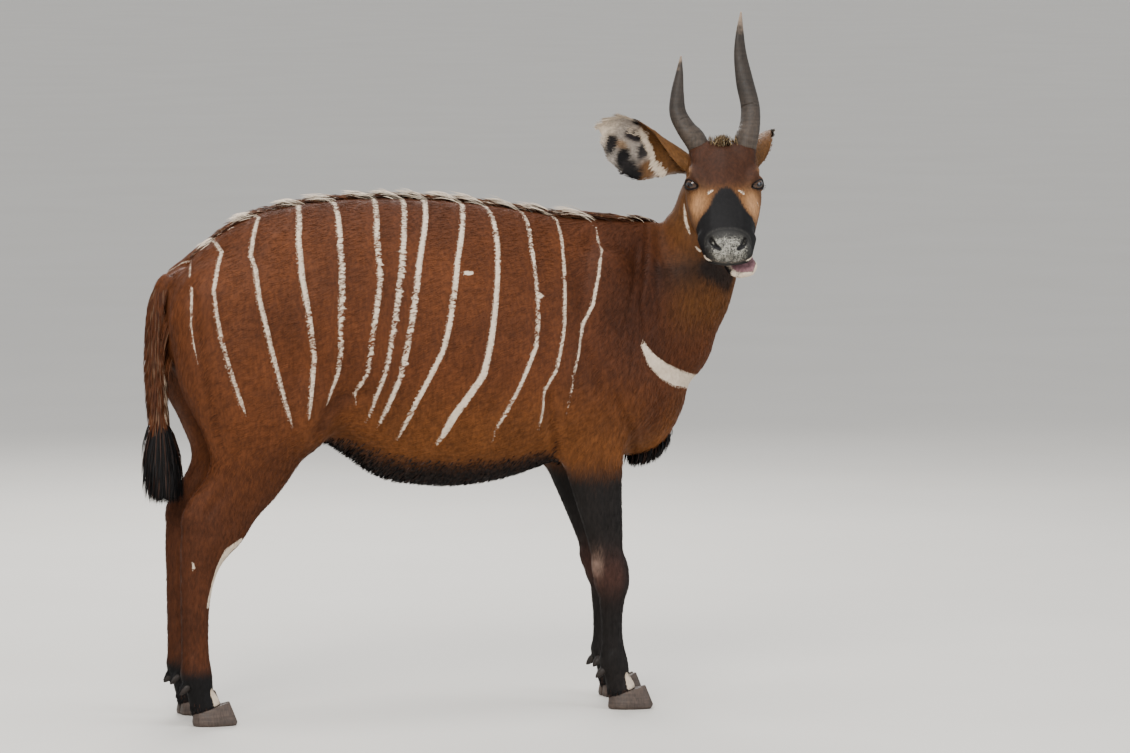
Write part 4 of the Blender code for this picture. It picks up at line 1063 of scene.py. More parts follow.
def horn_stuff(name, base, pale, lowest, highest):
    """Horn with fine growth lines, streaks along it and pale worn tips."""
    made, tree, shader = shader_of(name)
    tip = attribute(tree, "along")
    streak = noise(tree, 260.0, 4.0, (1.0, 1.0, 0.12))
    ring = noise(tree, 30.0, 5.0, (0.5, 0.5, 6.0))
    shade = sum_of(tree, "MULTIPLY", spread(tree, streak, 0.3, 0.7, 0.72, 1.25),
                   spread(tree, ring, 0.35, 0.65, 0.80, 1.15))
    shade = sum_of(tree, "MULTIPLY", shade, spread(tree, tip, 0.05, 0.50, 2.1, 1.0))
    toned = node(tree, "ShaderNodeVectorMath", operation="SCALE")
    toned.inputs[0].default_value = base
    tree.links.new(shade, toned.inputs["Scale"])
    worn = sum_of(tree, "MULTIPLY_ADD", noise(tree, 55.0, 4.0), 0.25, tip)
    colour = mixed(tree, spread(tree, worn, lowest, highest), toned.outputs["Vector"], pale)
    tree.links.new(colour, shader.inputs["Base Color"])
    tree.links.new(spread(tree, streak, 0.3, 0.7, 0.46, 0.68), shader.inputs["Roughness"])
    bump(tree, shader, sum_of(tree, "ADD", streak, sum_of(tree, "MULTIPLY", ring, 1.5)), 0.0008, 0.6)
    shader.inputs["Specular IOR Level"].default_value = 0.26
    return made


def eye_stuff():
    """The eyeball: dark brown iris, wide pupil and clear gloss, drawn in the eye's own frame."""
    made, tree, shader = shader_of("eye")
    place = node(tree, "ShaderNodeAttribute")
    place.attribute_name = "gaze"
    split = node(tree, "ShaderNodeSeparateXYZ")
    tree.links.new(place.outputs["Vector"], split.inputs["Vector"])
    x, y = split.outputs["X"], split.outputs["Y"]

    def round_of(width, height):
        across = sum_of(tree, "POWER", sum_of(tree, "DIVIDE", x, width), 2.0)
        up = sum_of(tree, "POWER", sum_of(tree, "DIVIDE", y, height), 2.0)
        return sum_of(tree, "SQRT", sum_of(tree, "ADD", across, up))

    iris = round_of(0.0176, 0.0165)
    pupil = round_of(0.0096, 0.0056)
    fibres = noise(tree, 900.0, 3.0)
    brown = mixed(tree, fibres, (0.026, 0.012, 0.006), (0.060, 0.028, 0.012))
    rim = mixed(tree, spread(tree, iris, 0.72, 1.0), brown, (0.007, 0.005, 0.004))
    white = mixed(tree, spread(tree, iris, 1.0, 1.12), rim, (0.030, 0.020, 0.016))
    colour = mixed(tree, spread(tree, pupil, 0.88, 1.05, 1.0, 0.0), white, (0.004, 0.004, 0.006))
    tree.links.new(colour, shader.inputs["Base Color"])
    tree.links.new(spread(tree, fibres, 0.2, 0.8, 0.05, 0.09), shader.inputs["Roughness"])
    shader.inputs["Specular IOR Level"].default_value = 0.30
    shader.inputs["Coat Weight"].default_value = 0.35
    shader.inputs["Coat Roughness"].default_value = 0.02
    return made


def wet_stuff(name, colour, roughness):
    """Moist skin, mottled."""
    made, tree, shader = shader_of(name)
    mottle = noise(tree, 240.0, 4.0)
    dark = tuple(part * 0.55 for part in colour)
    tree.links.new(mixed(tree, spread(tree, mottle, 0.35, 0.7), dark, colour), shader.inputs["Base Color"])
    tree.links.new(spread(tree, mottle, 0.3, 0.7, roughness, roughness + 0.15), shader.inputs["Roughness"])
    bump(tree, shader, mottle, 0.0008, 0.5)
    return made


# Coat
UNWRAP_TRIANGLES = 14000


def unwrap_of(obj):
    """A light copy of the skin, laid out flat, from which tufts take their place on the map."""
    copy = new_object("unwrap", obj.data.copy())
    thin = copy.modifiers.new("thin", "DECIMATE")
    thin.ratio = UNWRAP_TRIANGLES / max(1, sum(len(face.vertices) - 2 for face in copy.data.polygons))
    apply_modifiers(copy)
    edit(copy)
    bpy.ops.mesh.select_all(action="SELECT")
    bpy.ops.mesh.quads_convert_to_tris()
    bpy.ops.uv.smart_project(angle_limit=math.radians(66), island_margin=0.004)
    leave_edit()
    mesh = copy.data
    flat = np.empty(len(mesh.loops) * 2)
    mesh.uv_layers.active.data.foreach_get("uv", flat)
    corners = np.empty(len(mesh.loops), dtype=int)
    mesh.loops.foreach_get("vertex_index", corners)
    points = places(copy)[corners].reshape(-1, 3, 3)
    flat = flat.reshape(-1, 3, 2)
    faces = np.arange(len(corners)).reshape(-1, 3).tolist()
    tree = BVHTree.FromPolygons(points.reshape(-1, 3).tolist(), faces)
    bpy.data.objects.remove(copy)
    return {"tree": tree, "points": points, "flat": flat}


def ground_of(obj):
    """The surface that hair grows on: its triangles, their points, normals and a search tree."""
    mesh = obj.data
    mesh.calc_loop_triangles()
    corners = np.empty(len(mesh.loop_triangles) * 3, dtype=int)
    mesh.loop_triangles.foreach_get("vertices", corners)
    corners = corners.reshape(-1, 3)
    points = places(obj)
    normals = normals_of(obj)
    tree = BVHTree.FromPolygons(points.tolist(), corners.tolist())
    edges = points[corners]
    areas = lengths(np.cross(edges[:, 1] - edges[:, 0], edges[:, 2] - edges[:, 0])) / 2
    return {
        "points": points, "normals": normals, "corners": corners, "tree": tree, "areas": areas,
        "centres": edges.mean(axis=1), "unwrap": unwrap_of(obj),
    }


def map_places(roots, unwrap):
    """Each root's place on the unwrap."""
    faces = np.zeros(len(roots), dtype=int)
    spots = np.zeros((len(roots), 3))
    for index, root in enumerate(roots.tolist()):
        spot, _, face, _ = unwrap["tree"].find_nearest(root)
        faces[index] = face
        spots[index] = spot
    a, b, c = np.moveaxis(unwrap["points"][faces], 1, 0)
    first, second, across = b - a, c - a, spots - a
    d00, d01, d11 = (first * first).sum(1), (first * second).sum(1), (second * second).sum(1)
    d20, d21 = (across * first).sum(1), (across * second).sum(1)
    under = np.maximum(d00 * d11 - d01 * d01, 1e-18)
    v = np.clip((d11 * d20 - d01 * d21) / under, 0, 1)
    w = np.clip((d00 * d21 - d01 * d20) / under, 0, 1)
    flat = unwrap["flat"][faces]
    return flat[:, 0] + v[:, None] * (flat[:, 1] - flat[:, 0]) + w[:, None] * (flat[:, 2] - flat[:, 0])


def scattered(ground, density, seed):
    """Roots spread over the surface, `density` per square metre at each triangle's centre."""
    draw = np.random.default_rng(seed)
    wanted = np.cumsum(ground["areas"] * density)
    count = int(wanted[-1])
    picks = (np.arange(count) + draw.random(count)) / count * wanted[-1]
    chosen = np.minimum(np.searchsorted(wanted, picks), len(wanted) - 1)
    first, second = draw.random(count), draw.random(count)
    over = first + second > 1
    first[over], second[over] = 1 - first[over], 1 - second[over]
    corners = ground["corners"][chosen]
    shares = np.column_stack([1 - first - second, first, second])
    roots = (ground["points"][corners] * shares[:, :, None]).sum(1)
    normals = unit((ground["normals"][corners] * shares[:, :, None]).sum(1))
    return roots, normals, draw


def laid(points, ground):
    """The nearest places on the surface, and its normals there."""
    spots = np.zeros_like(points)
    facing = np.zeros_like(points)
    find = ground["tree"].find_nearest
    for index, point in enumerate(points.tolist()):
        spot, normal, _, _ = find(point)
        spots[index] = spot
        facing[index] = normal
    return spots, facing


def hair_mesh(name, lines, sides, ups, widths, thickness, profile):
    """Closed three-sided tufts along their middle lines.

    `lines` holds each tuft's places from root to tip, `profile` its width at all but the tip.
    """
    count, rings = lines.shape[:2]
    solid = rings - 1
    half = widths[:, None] * np.array(profile)[None, :solid] / 2
    rise = thickness[:, None] * np.array(profile)[None, :solid]
    body = lines[:, :solid]
    left = body - sides[:, None] * half[..., None]
    right = body + sides[:, None] * half[..., None]
    top = body + ups[:, None] * rise[..., None]
    rows = np.stack([left, right, top], axis=2).reshape(count, solid * 3, 3)
    points = np.concatenate([rows, lines[:, -1:]], axis=1)
    per = solid * 3 + 1
    faces = [(0, 2, 1)]
    for ring in range(solid - 1):
        low, high = ring * 3, ring * 3 + 3
        for here, there in ((0, 1), (1, 2), (2, 0)):
            faces += [(low + here, low + there, high + there), (low + here, high + there, high + here)]
    last = (solid - 1) * 3
    faces += [(last, last + 1, per - 1), (last + 1, last + 2, per - 1), (last + 2, last, per - 1)]
    faces = np.array(faces)[:, ::-1]
    corners = (faces[None] + (np.arange(count) * per)[:, None, None]).reshape(-1, 3)
    mesh = bpy.data.meshes.new(name)
    mesh.vertices.add(count * per)
    mesh.vertices.foreach_set("co", points.astype(np.float32).ravel())
    mesh.loops.add(len(corners) * 3)
    mesh.loops.foreach_set("vertex_index", corners.astype(np.int32).ravel())
    mesh.polygons.add(len(corners))
    mesh.polygons.foreach_set("loop_start", np.arange(0, len(corners) * 3, 3, dtype=np.int32))
    mesh.update(calc_edges=True)
    return mesh, per, corners


ROUNDING = 0.55
PATCH = 0.003
TRIANGLE_LIMIT = 196000


def coat_piece(name, lines, sides, ups, widths, thickness, profile, tone, white, unwrap, stuff, draw):
    """One piece of coat with its colours, soft shading and place on the map.

    `white` holds, for every place of every tuft, how far it lies outside the white marks.
    """
    count, rings = lines.shape[:2]
    mesh, per, corners = hair_mesh(name, lines, sides, ups, widths, thickness, profile)
    shade = draw.uniform(0.80, 1.22, count)[:, None]
    root_to_tip = np.append(np.repeat(np.linspace(0.90, 1.05, rings - 1), 3), 1.12)
    colours = (tone * shade)[:, None, :] * root_to_tip[None, :, None]
    write_colours(mesh, "tone", colours.reshape(-1, 3))
    rows = np.column_stack([np.repeat(white[:, :-1], 3, axis=1), white[:, -1]])
    write_floats(mesh, "white", rows.ravel())
    write_floats(mesh, "bare", np.zeros(count * per))
    lean = np.append(np.tile((-ROUNDING, ROUNDING, 0.0), rings - 1), 0.0)
    facing = unit(ups[:, None] + sides[:, None] * lean[None, :, None])
    mesh.polygons.foreach_set("use_smooth", np.ones(len(corners), dtype=bool))
    mesh.normals_split_custom_set_from_vertices(facing.reshape(-1, 3).tolist())
    where = map_places(lines[:, 0], unwrap)
    around = np.tile(((-0.5, -0.3), (0.5, -0.3), (0.0, 0.0)), (rings - 1, 1))
    around = np.vstack([around, (0.0, 0.5)]) * PATCH
    flat = (where[:, None] + around[None]).reshape(-1, 2)[corners.ravel()]
    layer = mesh.uv_layers.new(name="OFBake")
    layer.data.foreach_set("uv", flat.astype(np.float32).ravel())
    mesh.materials.append(stuff)
    obj = new_object(name, mesh)
    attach(obj, "root")
    return obj


def fur_way(points, normals):
    """The lie of the short coat: back and down on the body, down the legs, up the face."""
    x, y, z = in_body(points).T
    way = np.tile((-0.93, 0.0, -0.36), (len(points), 1))

    def turn(direction, share):
        way[:] = way + (np.array(direction) - way) * np.clip(share, 0, 1)[:, None]

    turn((-0.55, 0.0, -0.83), ramp(x, 0.36, 0.56))
    turn((-0.35, 0.0, -0.94), ramp(-x, 0.44, 0.58))
    turn((-0.20, 0.0, -0.98), ramp(-z, -0.70, -0.58) * np.maximum(ramp(x, 0.34, 0.42), ramp(-x, 0.22, 0.34)))
    turn((-0.12, 0.04, -1.00), ramp(x, 0.62, 0.72))
    local = in_head(points)
    upface = np.column_stack([
        np.full(len(points), -0.9), 0.5 * np.sign(local[:, 1]) * ramp(np.abs(local[:, 1]), 0.0, 0.06),
        -0.55 * ramp(-local[:, 2], 0.03, 0.09),
    ])
    head_way = unit(upface) @ np.array(HEAD_TURN.to_3x3()).T
    share = head_share(points)
    way = way + (head_way - way) * share[:, None]
    way -= normals * (way * normals).sum(1)[:, None]
    return unit(way)


def fur_size(points, white):
    """Length and width of the short tufts: finer near the edges of the white marks."""
    x, y, z = in_body(points).T
    head = head_share(points)
    leg = ramp(-z, -0.64, -0.50)
    foot = ramp(-z, -0.20, -0.12)
    local = in_head(points)
    long = 0.022 + (0.014 - 0.022) * leg
    long += (0.010 - long) * foot
    wide = 0.0032 + (0.0024 - 0.0032) * leg
    neck = ramp(x, 0.62, 0.74) * (1 - head)
    long += (0.018 - long) * neck
    wide += (0.0030 - wide) * neck
    face = 0.0085 - 0.0045 * ramp(local[:, 0], 0.19, 0.27) + 0.004 * ramp(-local[:, 0], -0.08, 0.0)
    long += (face - long) * head
    wide += (0.0017 - wide) * head
    marked = ramp(-white, -0.018, -0.010)
    long += (np.minimum(long, 0.0095) - long) * marked
    wide += (np.minimum(wide, 0.0023) - wide) * marked
    return long, wide


FUR_COVER = 0.88
# Hair of the stripes is dragged back over the brown hair by up to this much
STRIPE_DRAG = 0.0055
STRIPE_JITTER = 0.0006


def short_coat(ground, strokes, shade_tints, stuff):
    """Short tufts over the whole skin, in pieces by region."""
    centres = ground["centres"]
    long, wide = fur_size(centres, white_gap(centres, strokes))
    density = FUR_COVER / (long * wide / 2)
    bare = bare_share(centres) * head_share(centres)
    closed = 1 - np.maximum(ramp(bare, 0.10, 0.25), mouth_share(centres) * head_share(centres))
    density *= closed * (~near_eye(centres))
    roots, normals, draw = scattered(ground, density, 41)
    long, wide = fur_size(roots, white_gap(roots, strokes))
    count = len(roots)
    long = long * draw.uniform(0.75, 1.25, count)
    wide = wide * draw.uniform(0.8, 1.2, count)
    way = fur_way(roots, normals)
    side = np.cross(way, normals)
    swing = draw.normal(0, 0.14, count)
    way = unit(way + side * swing[:, None])
    side = np.cross(way, normals)
    lift = draw.uniform(0.06, 0.17, count)
    tips, tip_facing = laid(roots + way * long[:, None], ground)
    tips = tips + tip_facing * (long * lift)[:, None]
    start = roots - normals * 0.0006
    lines = np.stack([start, tips], axis=1)
    tone, _ = coat_tone(roots, normals, shade_tints)
    drag = way * draw.uniform(0.0, STRIPE_DRAG, count)[:, None]
    white = np.column_stack([white_gap(spots - drag, strokes) for spots in (roots, tips)])
    white += draw.normal(0, STRIPE_JITTER, count)[:, None]
    up = unit(normals + tip_facing)
    side = unit(np.cross(tips - start, up))
    body = in_body(roots)
    regions = {
        "coat_head": head_share(roots) > 0.5,
        "coat_neck": (head_share(roots) <= 0.5) & (body[:, 0] > 0.62),
        "coat_legs": body[:, 2] < 0.60,
    }
    taken = np.zeros(count, dtype=bool)
    pieces = []
    for name, members in regions.items():
        members = members & ~taken
        taken |= members
        pieces.append((name, np.flatnonzero(members)))
    pieces.append(("coat_right_side", np.flatnonzero(~taken & (body[:, 1] < 0))))
    pieces.append(("coat_left_side", np.flatnonzero(~taken & (body[:, 1] >= 0))))
    most = TRIANGLE_LIMIT // 4
    for name, members in pieces:
        parts = max(1, math.ceil(len(members) / most))
        for part, chosen in enumerate(np.array_split(members, parts)):
            label = name if parts == 1 else f"{name}_{part + 1}"
            coat_piece(
                label, lines[chosen], side[chosen], up[chosen], wide[chosen], wide[chosen] * 0.28,
                (1.0,), tone[chosen], white[chosen], ground["unwrap"], stuff, draw
            )


# Long hair
LONG_PROFILE = (0.65, 1.0, 0.80)


def strands(roots, start, end, length, steps=4):
    """Middle lines that leave the skin along `start` and turn towards `end`."""
    lines = [roots]
    for share in np.linspace(0, 1, steps)[1:]:
        way = unit(start + (end - start) * share)
        lines.append(lines[-1] + way * (length / (steps - 1))[:, None])
    return np.stack(lines, axis=1)


def long_hair(name, lines, normals, width, tone, white, unwrap, stuff, draw):
    """A piece of long hair along the given lines; `white` is one value for each hair."""
    ways = unit(lines[:, -1] - lines[:, 0])
    loose = unit(normals + draw.normal(0, 0.35, normals.shape))
    sides = unit(np.cross(ways, loose))
    ups = np.cross(sides, ways)
    steps = lines.shape[1]
    spread_white = np.repeat(white[:, None], steps, axis=1)
    coat_piece(
        name, lines, sides, ups, width, width * 0.5, LONG_PROFILE[:steps - 1], tone, spread_white,
        unwrap, stuff, draw
    )


def patch_of(ground, share, count, seed):
    """About `count` roots spread over the part of the skin where `share` is above 0."""
    weight = np.clip(share, 0, 1)
    return scattered(ground, weight * count / max((weight * ground["areas"]).sum(), 1e-9), seed)


def picked(draw, count, choices):
    """One colour for each hair out of (colour, share) choices."""
    colours = np.array([colour for colour, _ in choices])
    shares = np.array([share for _, share in choices])
    return colours[draw.choice(len(choices), count, p=shares / shares.sum())]


def dropped(starts, ground):
    """The places straight below on the skin, and its normals there."""
    found = [ground["tree"].ray_cast(Vector(start), Vector((0, 0, -1)))[:2] for start in starts]
    return np.array([spot for spot, _ in found]), np.array([normal for _, normal in found])


def crest(ground, strokes, stuff):
    """The mane along the back: swept back, white where the stripes begin."""
    draw = np.random.default_rng(51)
    count = 4200
    backs, heights = zip(*BACK_LINE)
    x = draw.uniform(-0.50, 0.645, count)
    y = draw.normal(0, 0.0065, count)
    starts = np.column_stack([x, y, np.full(count, 1.35)]) + np.array(BODY_PLACE)
    roots, normals = dropped(starts, ground)
    length = np.interp(x, (-0.50, -0.40, 0.0, 0.30, 0.50, 0.66), (0.018, 0.034, 0.044, 0.050, 0.060, 0.040))
    length = length * draw.uniform(0.7, 1.2, count)
    slope = np.gradient(np.array(heights), np.array(backs))
    fall = -np.interp(x, backs, slope)
    start = np.column_stack([draw.uniform(-0.9, -0.5, count), y * 14, draw.uniform(0.35, 0.75, count) + fall])
    end = np.column_stack([draw.uniform(-1.2, -0.9, count), y * 8, draw.uniform(-0.12, 0.16, count) + fall])
    tone = picked(draw, count, [
        (DEEP_CHESTNUT, 0.40), ((0.026, 0.012, 0.008), 0.15), ((0.095, 0.046, 0.022), 0.30), (CHESTNUT, 0.15),
    ])
    white = white_gap(roots, strokes) - 0.0085
    length = length * np.where(white < 0, 1.45, 1.0)
    white = np.where(draw.random(count) < 0.06, -0.002, white)
    lines = strands(roots - normals * 0.001, unit(start), unit(end), length)
    long_hair("crest", lines, normals, draw.uniform(0.0016, 0.0030, count), tone, white,
              ground["unwrap"], stuff, draw)


def tail_hair(ground, stuff):
    """Long brown hair down the tail, pale inside, and the black tuft."""
    x, y, z = in_body(ground["centres"]).T
    tail = (x < -0.560) & (np.abs(y) < 0.036) & (z < 1.035)
    roots, normals, draw = patch_of(ground, tail * ramp(z, 0.64, 0.70), 3000, 61)
    count = len(roots)
    down = np.tile((0.0, 0.0, -1.0), (count, 1))
    length = draw.uniform(0.035, 0.062, count)
    lines = strands(roots, unit(down + normals * 0.55), unit(down + normals * 0.12), length)
    tone = picked(draw, count, [
        ((0.066, 0.021, 0.0075), 0.66), ((0.095, 0.050, 0.028), 0.16), (DEEP_CHESTNUT, 0.18),
    ])
    pale = (normals[:, 0] > 0.45) & (draw.random(count) < 0.40)
    tone = np.where(pale[:, None], (0.330, 0.250, 0.180), tone)
    long_hair("tail_hair", lines, normals, draw.uniform(0.0022, 0.0036, count), tone, np.full(count, FAR),
              ground["unwrap"], stuff, draw)
    roots, normals, draw = patch_of(ground, tail * ramp(-z, -0.74, -0.70), 2600, 62)
    count = len(roots)
    heights = in_body(roots)[:, 2]
    down = np.tile((0.0, 0.0, -1.0), (count, 1))
    length = np.clip(heights - 0.530, 0.050, 0.125) * draw.uniform(0.80, 1.12, count)
    fan = normals * draw.uniform(0.35, 0.85, count)[:, None]
    lines = strands(roots, unit(down + fan), unit(down + fan * 0.15), length)
    tone = picked(draw, count, [(BLACK_HAIR, 0.85), ((0.030, 0.014, 0.009), 0.15)])
    long_hair("tail_tuft", lines, normals, draw.uniform(0.0024, 0.0042, count), tone, np.full(count, FAR),
              ground["unwrap"], stuff, draw)


def belly_hair(ground, stuff):
    """Black hair under the belly and the brisket, and over the tops of the hoofs."""
    x, y, z = in_body(ground["centres"]).T
    facing = ground["normals"][ground["corners"]].mean(axis=1)
    belly = ramp(-facing[:, 2], 0.55, 0.85) * ramp(-z, -0.70, -0.64)
    belly = belly * ramp(x, -0.30, -0.20) * ramp(-x, -0.46, -0.38)
    brisket = hump(x, 0.625, 0.045) * ramp(-z, -0.680, -0.655) * ramp(-np.abs(y), -0.06, -0.03)
    crown_of_hoof = ramp(-z, -0.064, -0.056) * ramp(z, 0.034, 0.040)
    groups = (
        ("belly_hair", belly, 4200, 63, (0.008, 0.016), (-0.55, 0.0, -0.62), (-0.80, 0.0, -0.60), 0.0026),
        ("brisket_hair", brisket, 1300, 64, (0.020, 0.036), (0.10, 0.0, -1.0), (-0.25, 0.0, -1.0), 0.0026),
        ("coronet_hair", crown_of_hoof, 1900, 65, (0.008, 0.014), (0.0, 0.0, -1.0), (0.0, 0.0, -1.0), 0.0020),
    )
    for name, share, count, seed, (short, long), start, end, width in groups:
        roots, normals, draw = patch_of(ground, np.where(share > 0.25, share, 0), count, seed)
        count = len(roots)
        length = draw.uniform(short, long, count)
        first = unit(np.array(start) + normals * 0.35 + draw.normal(0, 0.12, normals.shape))
        last = unit(np.array(end) + draw.normal(0, 0.12, normals.shape))
        lines = strands(roots - normals * 0.001, first, last, length, 3)
        tone = picked(draw, count, [(BLACK_HAIR, 0.8), ((0.026, 0.013, 0.009), 0.2)])
        long_hair(name, lines, normals, width * draw.uniform(0.7, 1.2, count), tone, np.full(count, FAR),
                  ground["unwrap"], stuff, draw)


def crown_hair(ground, stuff):
    """The small pale tuft between the horns."""
    draw = np.random.default_rng(66)
    count = 520
    spots = np.column_stack([
        draw.uniform(-0.035, 0.012, count), draw.normal(0.0, 0.012, count), np.full(count, 0.02),
    ])
    roots, normals = laid(transformed(spots, HEAD), ground)
    turn = np.array(HEAD_TURN.to_3x3())
    start = np.column_stack([draw.uniform(-0.5, 0.3, count), draw.normal(0, 0.3, count), np.ones(count)])
    end = np.column_stack([draw.uniform(-0.9, -0.2, count), draw.normal(0, 0.4, count), np.ones(count)])
    lines = strands(roots, unit(start @ turn.T), unit(end @ turn.T), draw.uniform(0.010, 0.021, count))
    tone = picked(draw, count, [
        ((0.220, 0.150, 0.075), 0.5), ((0.300, 0.230, 0.140), 0.2), (DEEP_CHESTNUT, 0.3),
    ])
    long_hair("crown_hair", lines, normals, draw.uniform(0.0011, 0.0019, count), tone, np.full(count, FAR),
              ground["unwrap"], stuff, draw)


# Eyes
def eye_frame(side):
    """The eye's own frame: x to its inner corner, y up over the lid, z the way it looks."""
    flip = 1 if side == "left" else -1
    place = Vector((EYE_PLACE.x, EYE_PLACE.y * flip, EYE_PLACE.z))
    gaze = Vector((EYE_GAZE.x, EYE_GAZE.y * flip, EYE_GAZE.z)).normalized()
    corner = Vector((0.617, -0.76 * flip, 0.20))
    corner = (corner - gaze * corner.dot(gaze)).normalized()
    upward = gaze.cross(corner) * flip
    turn = Matrix((corner, upward, gaze)).transposed().to_4x4()
    return HEAD @ Matrix.Translation(place) @ turn


EYE_OPENING = (0.0176, 0.0100)
CORNEA_RADIUS = 0.0150
CORNEA_RISE = 0.0016


def almond(angle):
    """The edge of the lids in the eye's own frame, with a pointed inner corner."""
    half_length, half_height = EYE_OPENING
    across = np.cos(angle)
    up = np.sin(angle)
    point = 1.0 + 0.22 * np.clip(across, 0, 1) ** 6
    rise = np.sign(up) * np.abs(up) ** 1.2 * (1.0 - 0.15 * across)
    return half_length * across * point, half_height * rise


def near_eye(points):
    """Points in or under the lids of either eye."""
    close = np.zeros(len(points), dtype=bool)
    for side in ("left", "right"):
        x, y, z = transformed(points, eye_frame(side).inverted()).T
        inside = (x / (EYE_OPENING[0] * 1.28)) ** 2 + (y / (EYE_OPENING[1] * 1.45)) ** 2 < 1
        close |= inside & (z > -0.002) & (z < 0.05)
    return close


def eyeball(side, stuff):
    """A glossy eyeball with a raised cornea."""
    bpy.ops.mesh.primitive_uv_sphere_add(segments=48, ring_count=32, radius=EYE_RADIUS)
    obj = bpy.context.view_layer.objects.active
    obj.name = f"eyeball_{side}"
    obj.data.name = obj.name
    points = places(obj)
    across = lengths(points[:, :2])
    raised = (points[:, 2] > 0) * np.clip(1 - (across / CORNEA_RADIUS) ** 2, 0, 1) * CORNEA_RISE
    points[:, 2] += raised
    layer = obj.data.attributes.new("gaze", "FLOAT_VECTOR", "POINT")
    layer.data.foreach_set("vector", points.astype(np.float32).ravel())
    set_places(obj, transformed(points, eye_frame(side)))
    bpy.ops.object.shade_smooth()
    on_all(obj, bpy.ops.mesh.normals_make_consistent, inside=False)
    obj.data.materials.append(stuff)
    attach(obj, "root")
    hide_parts(f"eye_{side}")


# The lids from the eyeball outwards: share along the ring, distance from the opening's edge and
# rise above the eyeball
LID_STEPS = (0.0, 0.16, 0.30, 0.46, 1.0)
LID_OFFSETS = (-0.0012, 0.0, 0.0010, 0.0032, 0.0135)
LID_RISES = (-0.0004, 0.0012, 0.0022, 0.0016, 0.0)
UPPER_LID_RISE = 0.0012
LID_WALL = 0.0008
# Rays that look for the face under the lids start this far out
RAY_START = 0.05


def ball_height(x, y):
    """How far the eyeball comes forward at a place in the eye's own frame."""
    across = np.hypot(x, y)
    bulge = np.clip(1 - (across / CORNEA_RADIUS) ** 2, 0, 1) * CORNEA_RISE
    return np.sqrt(np.maximum(EYE_RADIUS ** 2 - across ** 2, 0.0)) + bulge


def lid_spots(around, along, into, ground):
    """Places on the lids in the eye's own frame."""
    angle = 2 * np.pi * around
    x, y = almond(angle)
    away = unit(np.column_stack([x / EYE_OPENING[0] ** 2, y / EYE_OPENING[1] ** 2]))
    offset = np.interp(along, LID_STEPS, LID_OFFSETS)
    corner = np.maximum(0.0, np.cos(angle)) ** 8
    offset = offset - 0.0030 * corner * ramp(-along, -0.16, 0.0)
    upper = np.clip(y / EYE_OPENING[1], 0, 1)
    place_x, place_y = x + away[:, 0] * offset, y + away[:, 1] * offset
    rim_x, rim_y = x + away[:, 0] * np.minimum(offset, 0.0), y + away[:, 1] * np.minimum(offset, 0.0)
    height = ball_height(rim_x, rim_y) + np.interp(along, LID_STEPS, LID_RISES)
    height += UPPER_LID_RISE * upper * ramp(along, 0.0, 0.16) * ramp(-along, -0.8, -0.46)
    turn = np.array(into.to_3x3())
    skin_heights = []
    above = np.full(len(x), RAY_START)
    starts = transformed(np.column_stack([place_x, place_y, above]), into)
    edge_x, edge_y = x + away[:, 0] * LID_OFFSETS[-1], y + away[:, 1] * LID_OFFSETS[-1]
    edges = transformed(np.column_stack([edge_x, edge_y, above]), into)
    for start, edge in zip(starts, edges):
        found = []
        for origin in (start, edge):
            spot, _, _, _ = ground["tree"].ray_cast(Vector(origin), Vector(-turn[:, 2]))
            found.append(RAY_START - (spot - Vector(origin)).length if spot is not None else 0.0)
        skin_heights.append(found)
    here, edge = np.array(skin_heights).T
    height = np.maximum(height, np.where(along > 0.1, edge - 0.0050, -1.0))
    settle = ramp(along, 0.42, 0.92)
    outer = np.maximum(here, edge - 0.003) - 0.0012 * ramp(along, 0.85, 1.0)
    height = height + (outer - height) * settle
    crease = 0.0011 * upper * hump(along, 0.60, 0.07)
    return np.column_stack([place_x, place_y, height - crease])


def lids(side, ground, shade_tints, stuff):
    """Both lids as one ring of skin: dark wet rims, a crease over the eye, and out onto the face."""
    into = eye_frame(side)

    def place(around, along):
        return transformed(lid_spots(around, along, into, ground), into)

    obj = wrapped(f"lids_{side}", 73, 30, place, closed_ends=False)
    points = places(obj)
    along = read_floats(obj.data, "along")
    x, y, _ = transformed(points, into.inverted()).T
    _, normals = laid(points, ground)
    tone, _ = coat_tone(points, normals, shade_tints)
    tear = np.clip(x / EYE_OPENING[0] - 0.75, 0, 1) * ramp(-along, -0.85, -0.50)
    tone = blend(tone, BLACK_HAIR, np.maximum(ramp(-along, -0.50, -0.36), tear))
    write_colours(obj.data, "tone", tone)
    write_floats(obj.data, "white", np.full(len(points), FAR))
    write_floats(obj.data, "bare", np.zeros(len(points)))
    on_all(obj, bpy.ops.mesh.normals_make_consistent, inside=False)
    gaze = np.array(into.to_3x3())[:, 2]
    if (normals_of(obj) @ gaze).mean() < 0:
        on_all(obj, bpy.ops.mesh.flip_normals)
    wall = obj.modifiers.new("wall", "SOLIDIFY")
    wall.thickness = LID_WALL
    wall.offset = -1.0
    apply_modifiers(obj)
    obj.data.materials.append(stuff)
    bpy.ops.object.shade_smooth()
    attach(obj, "root")


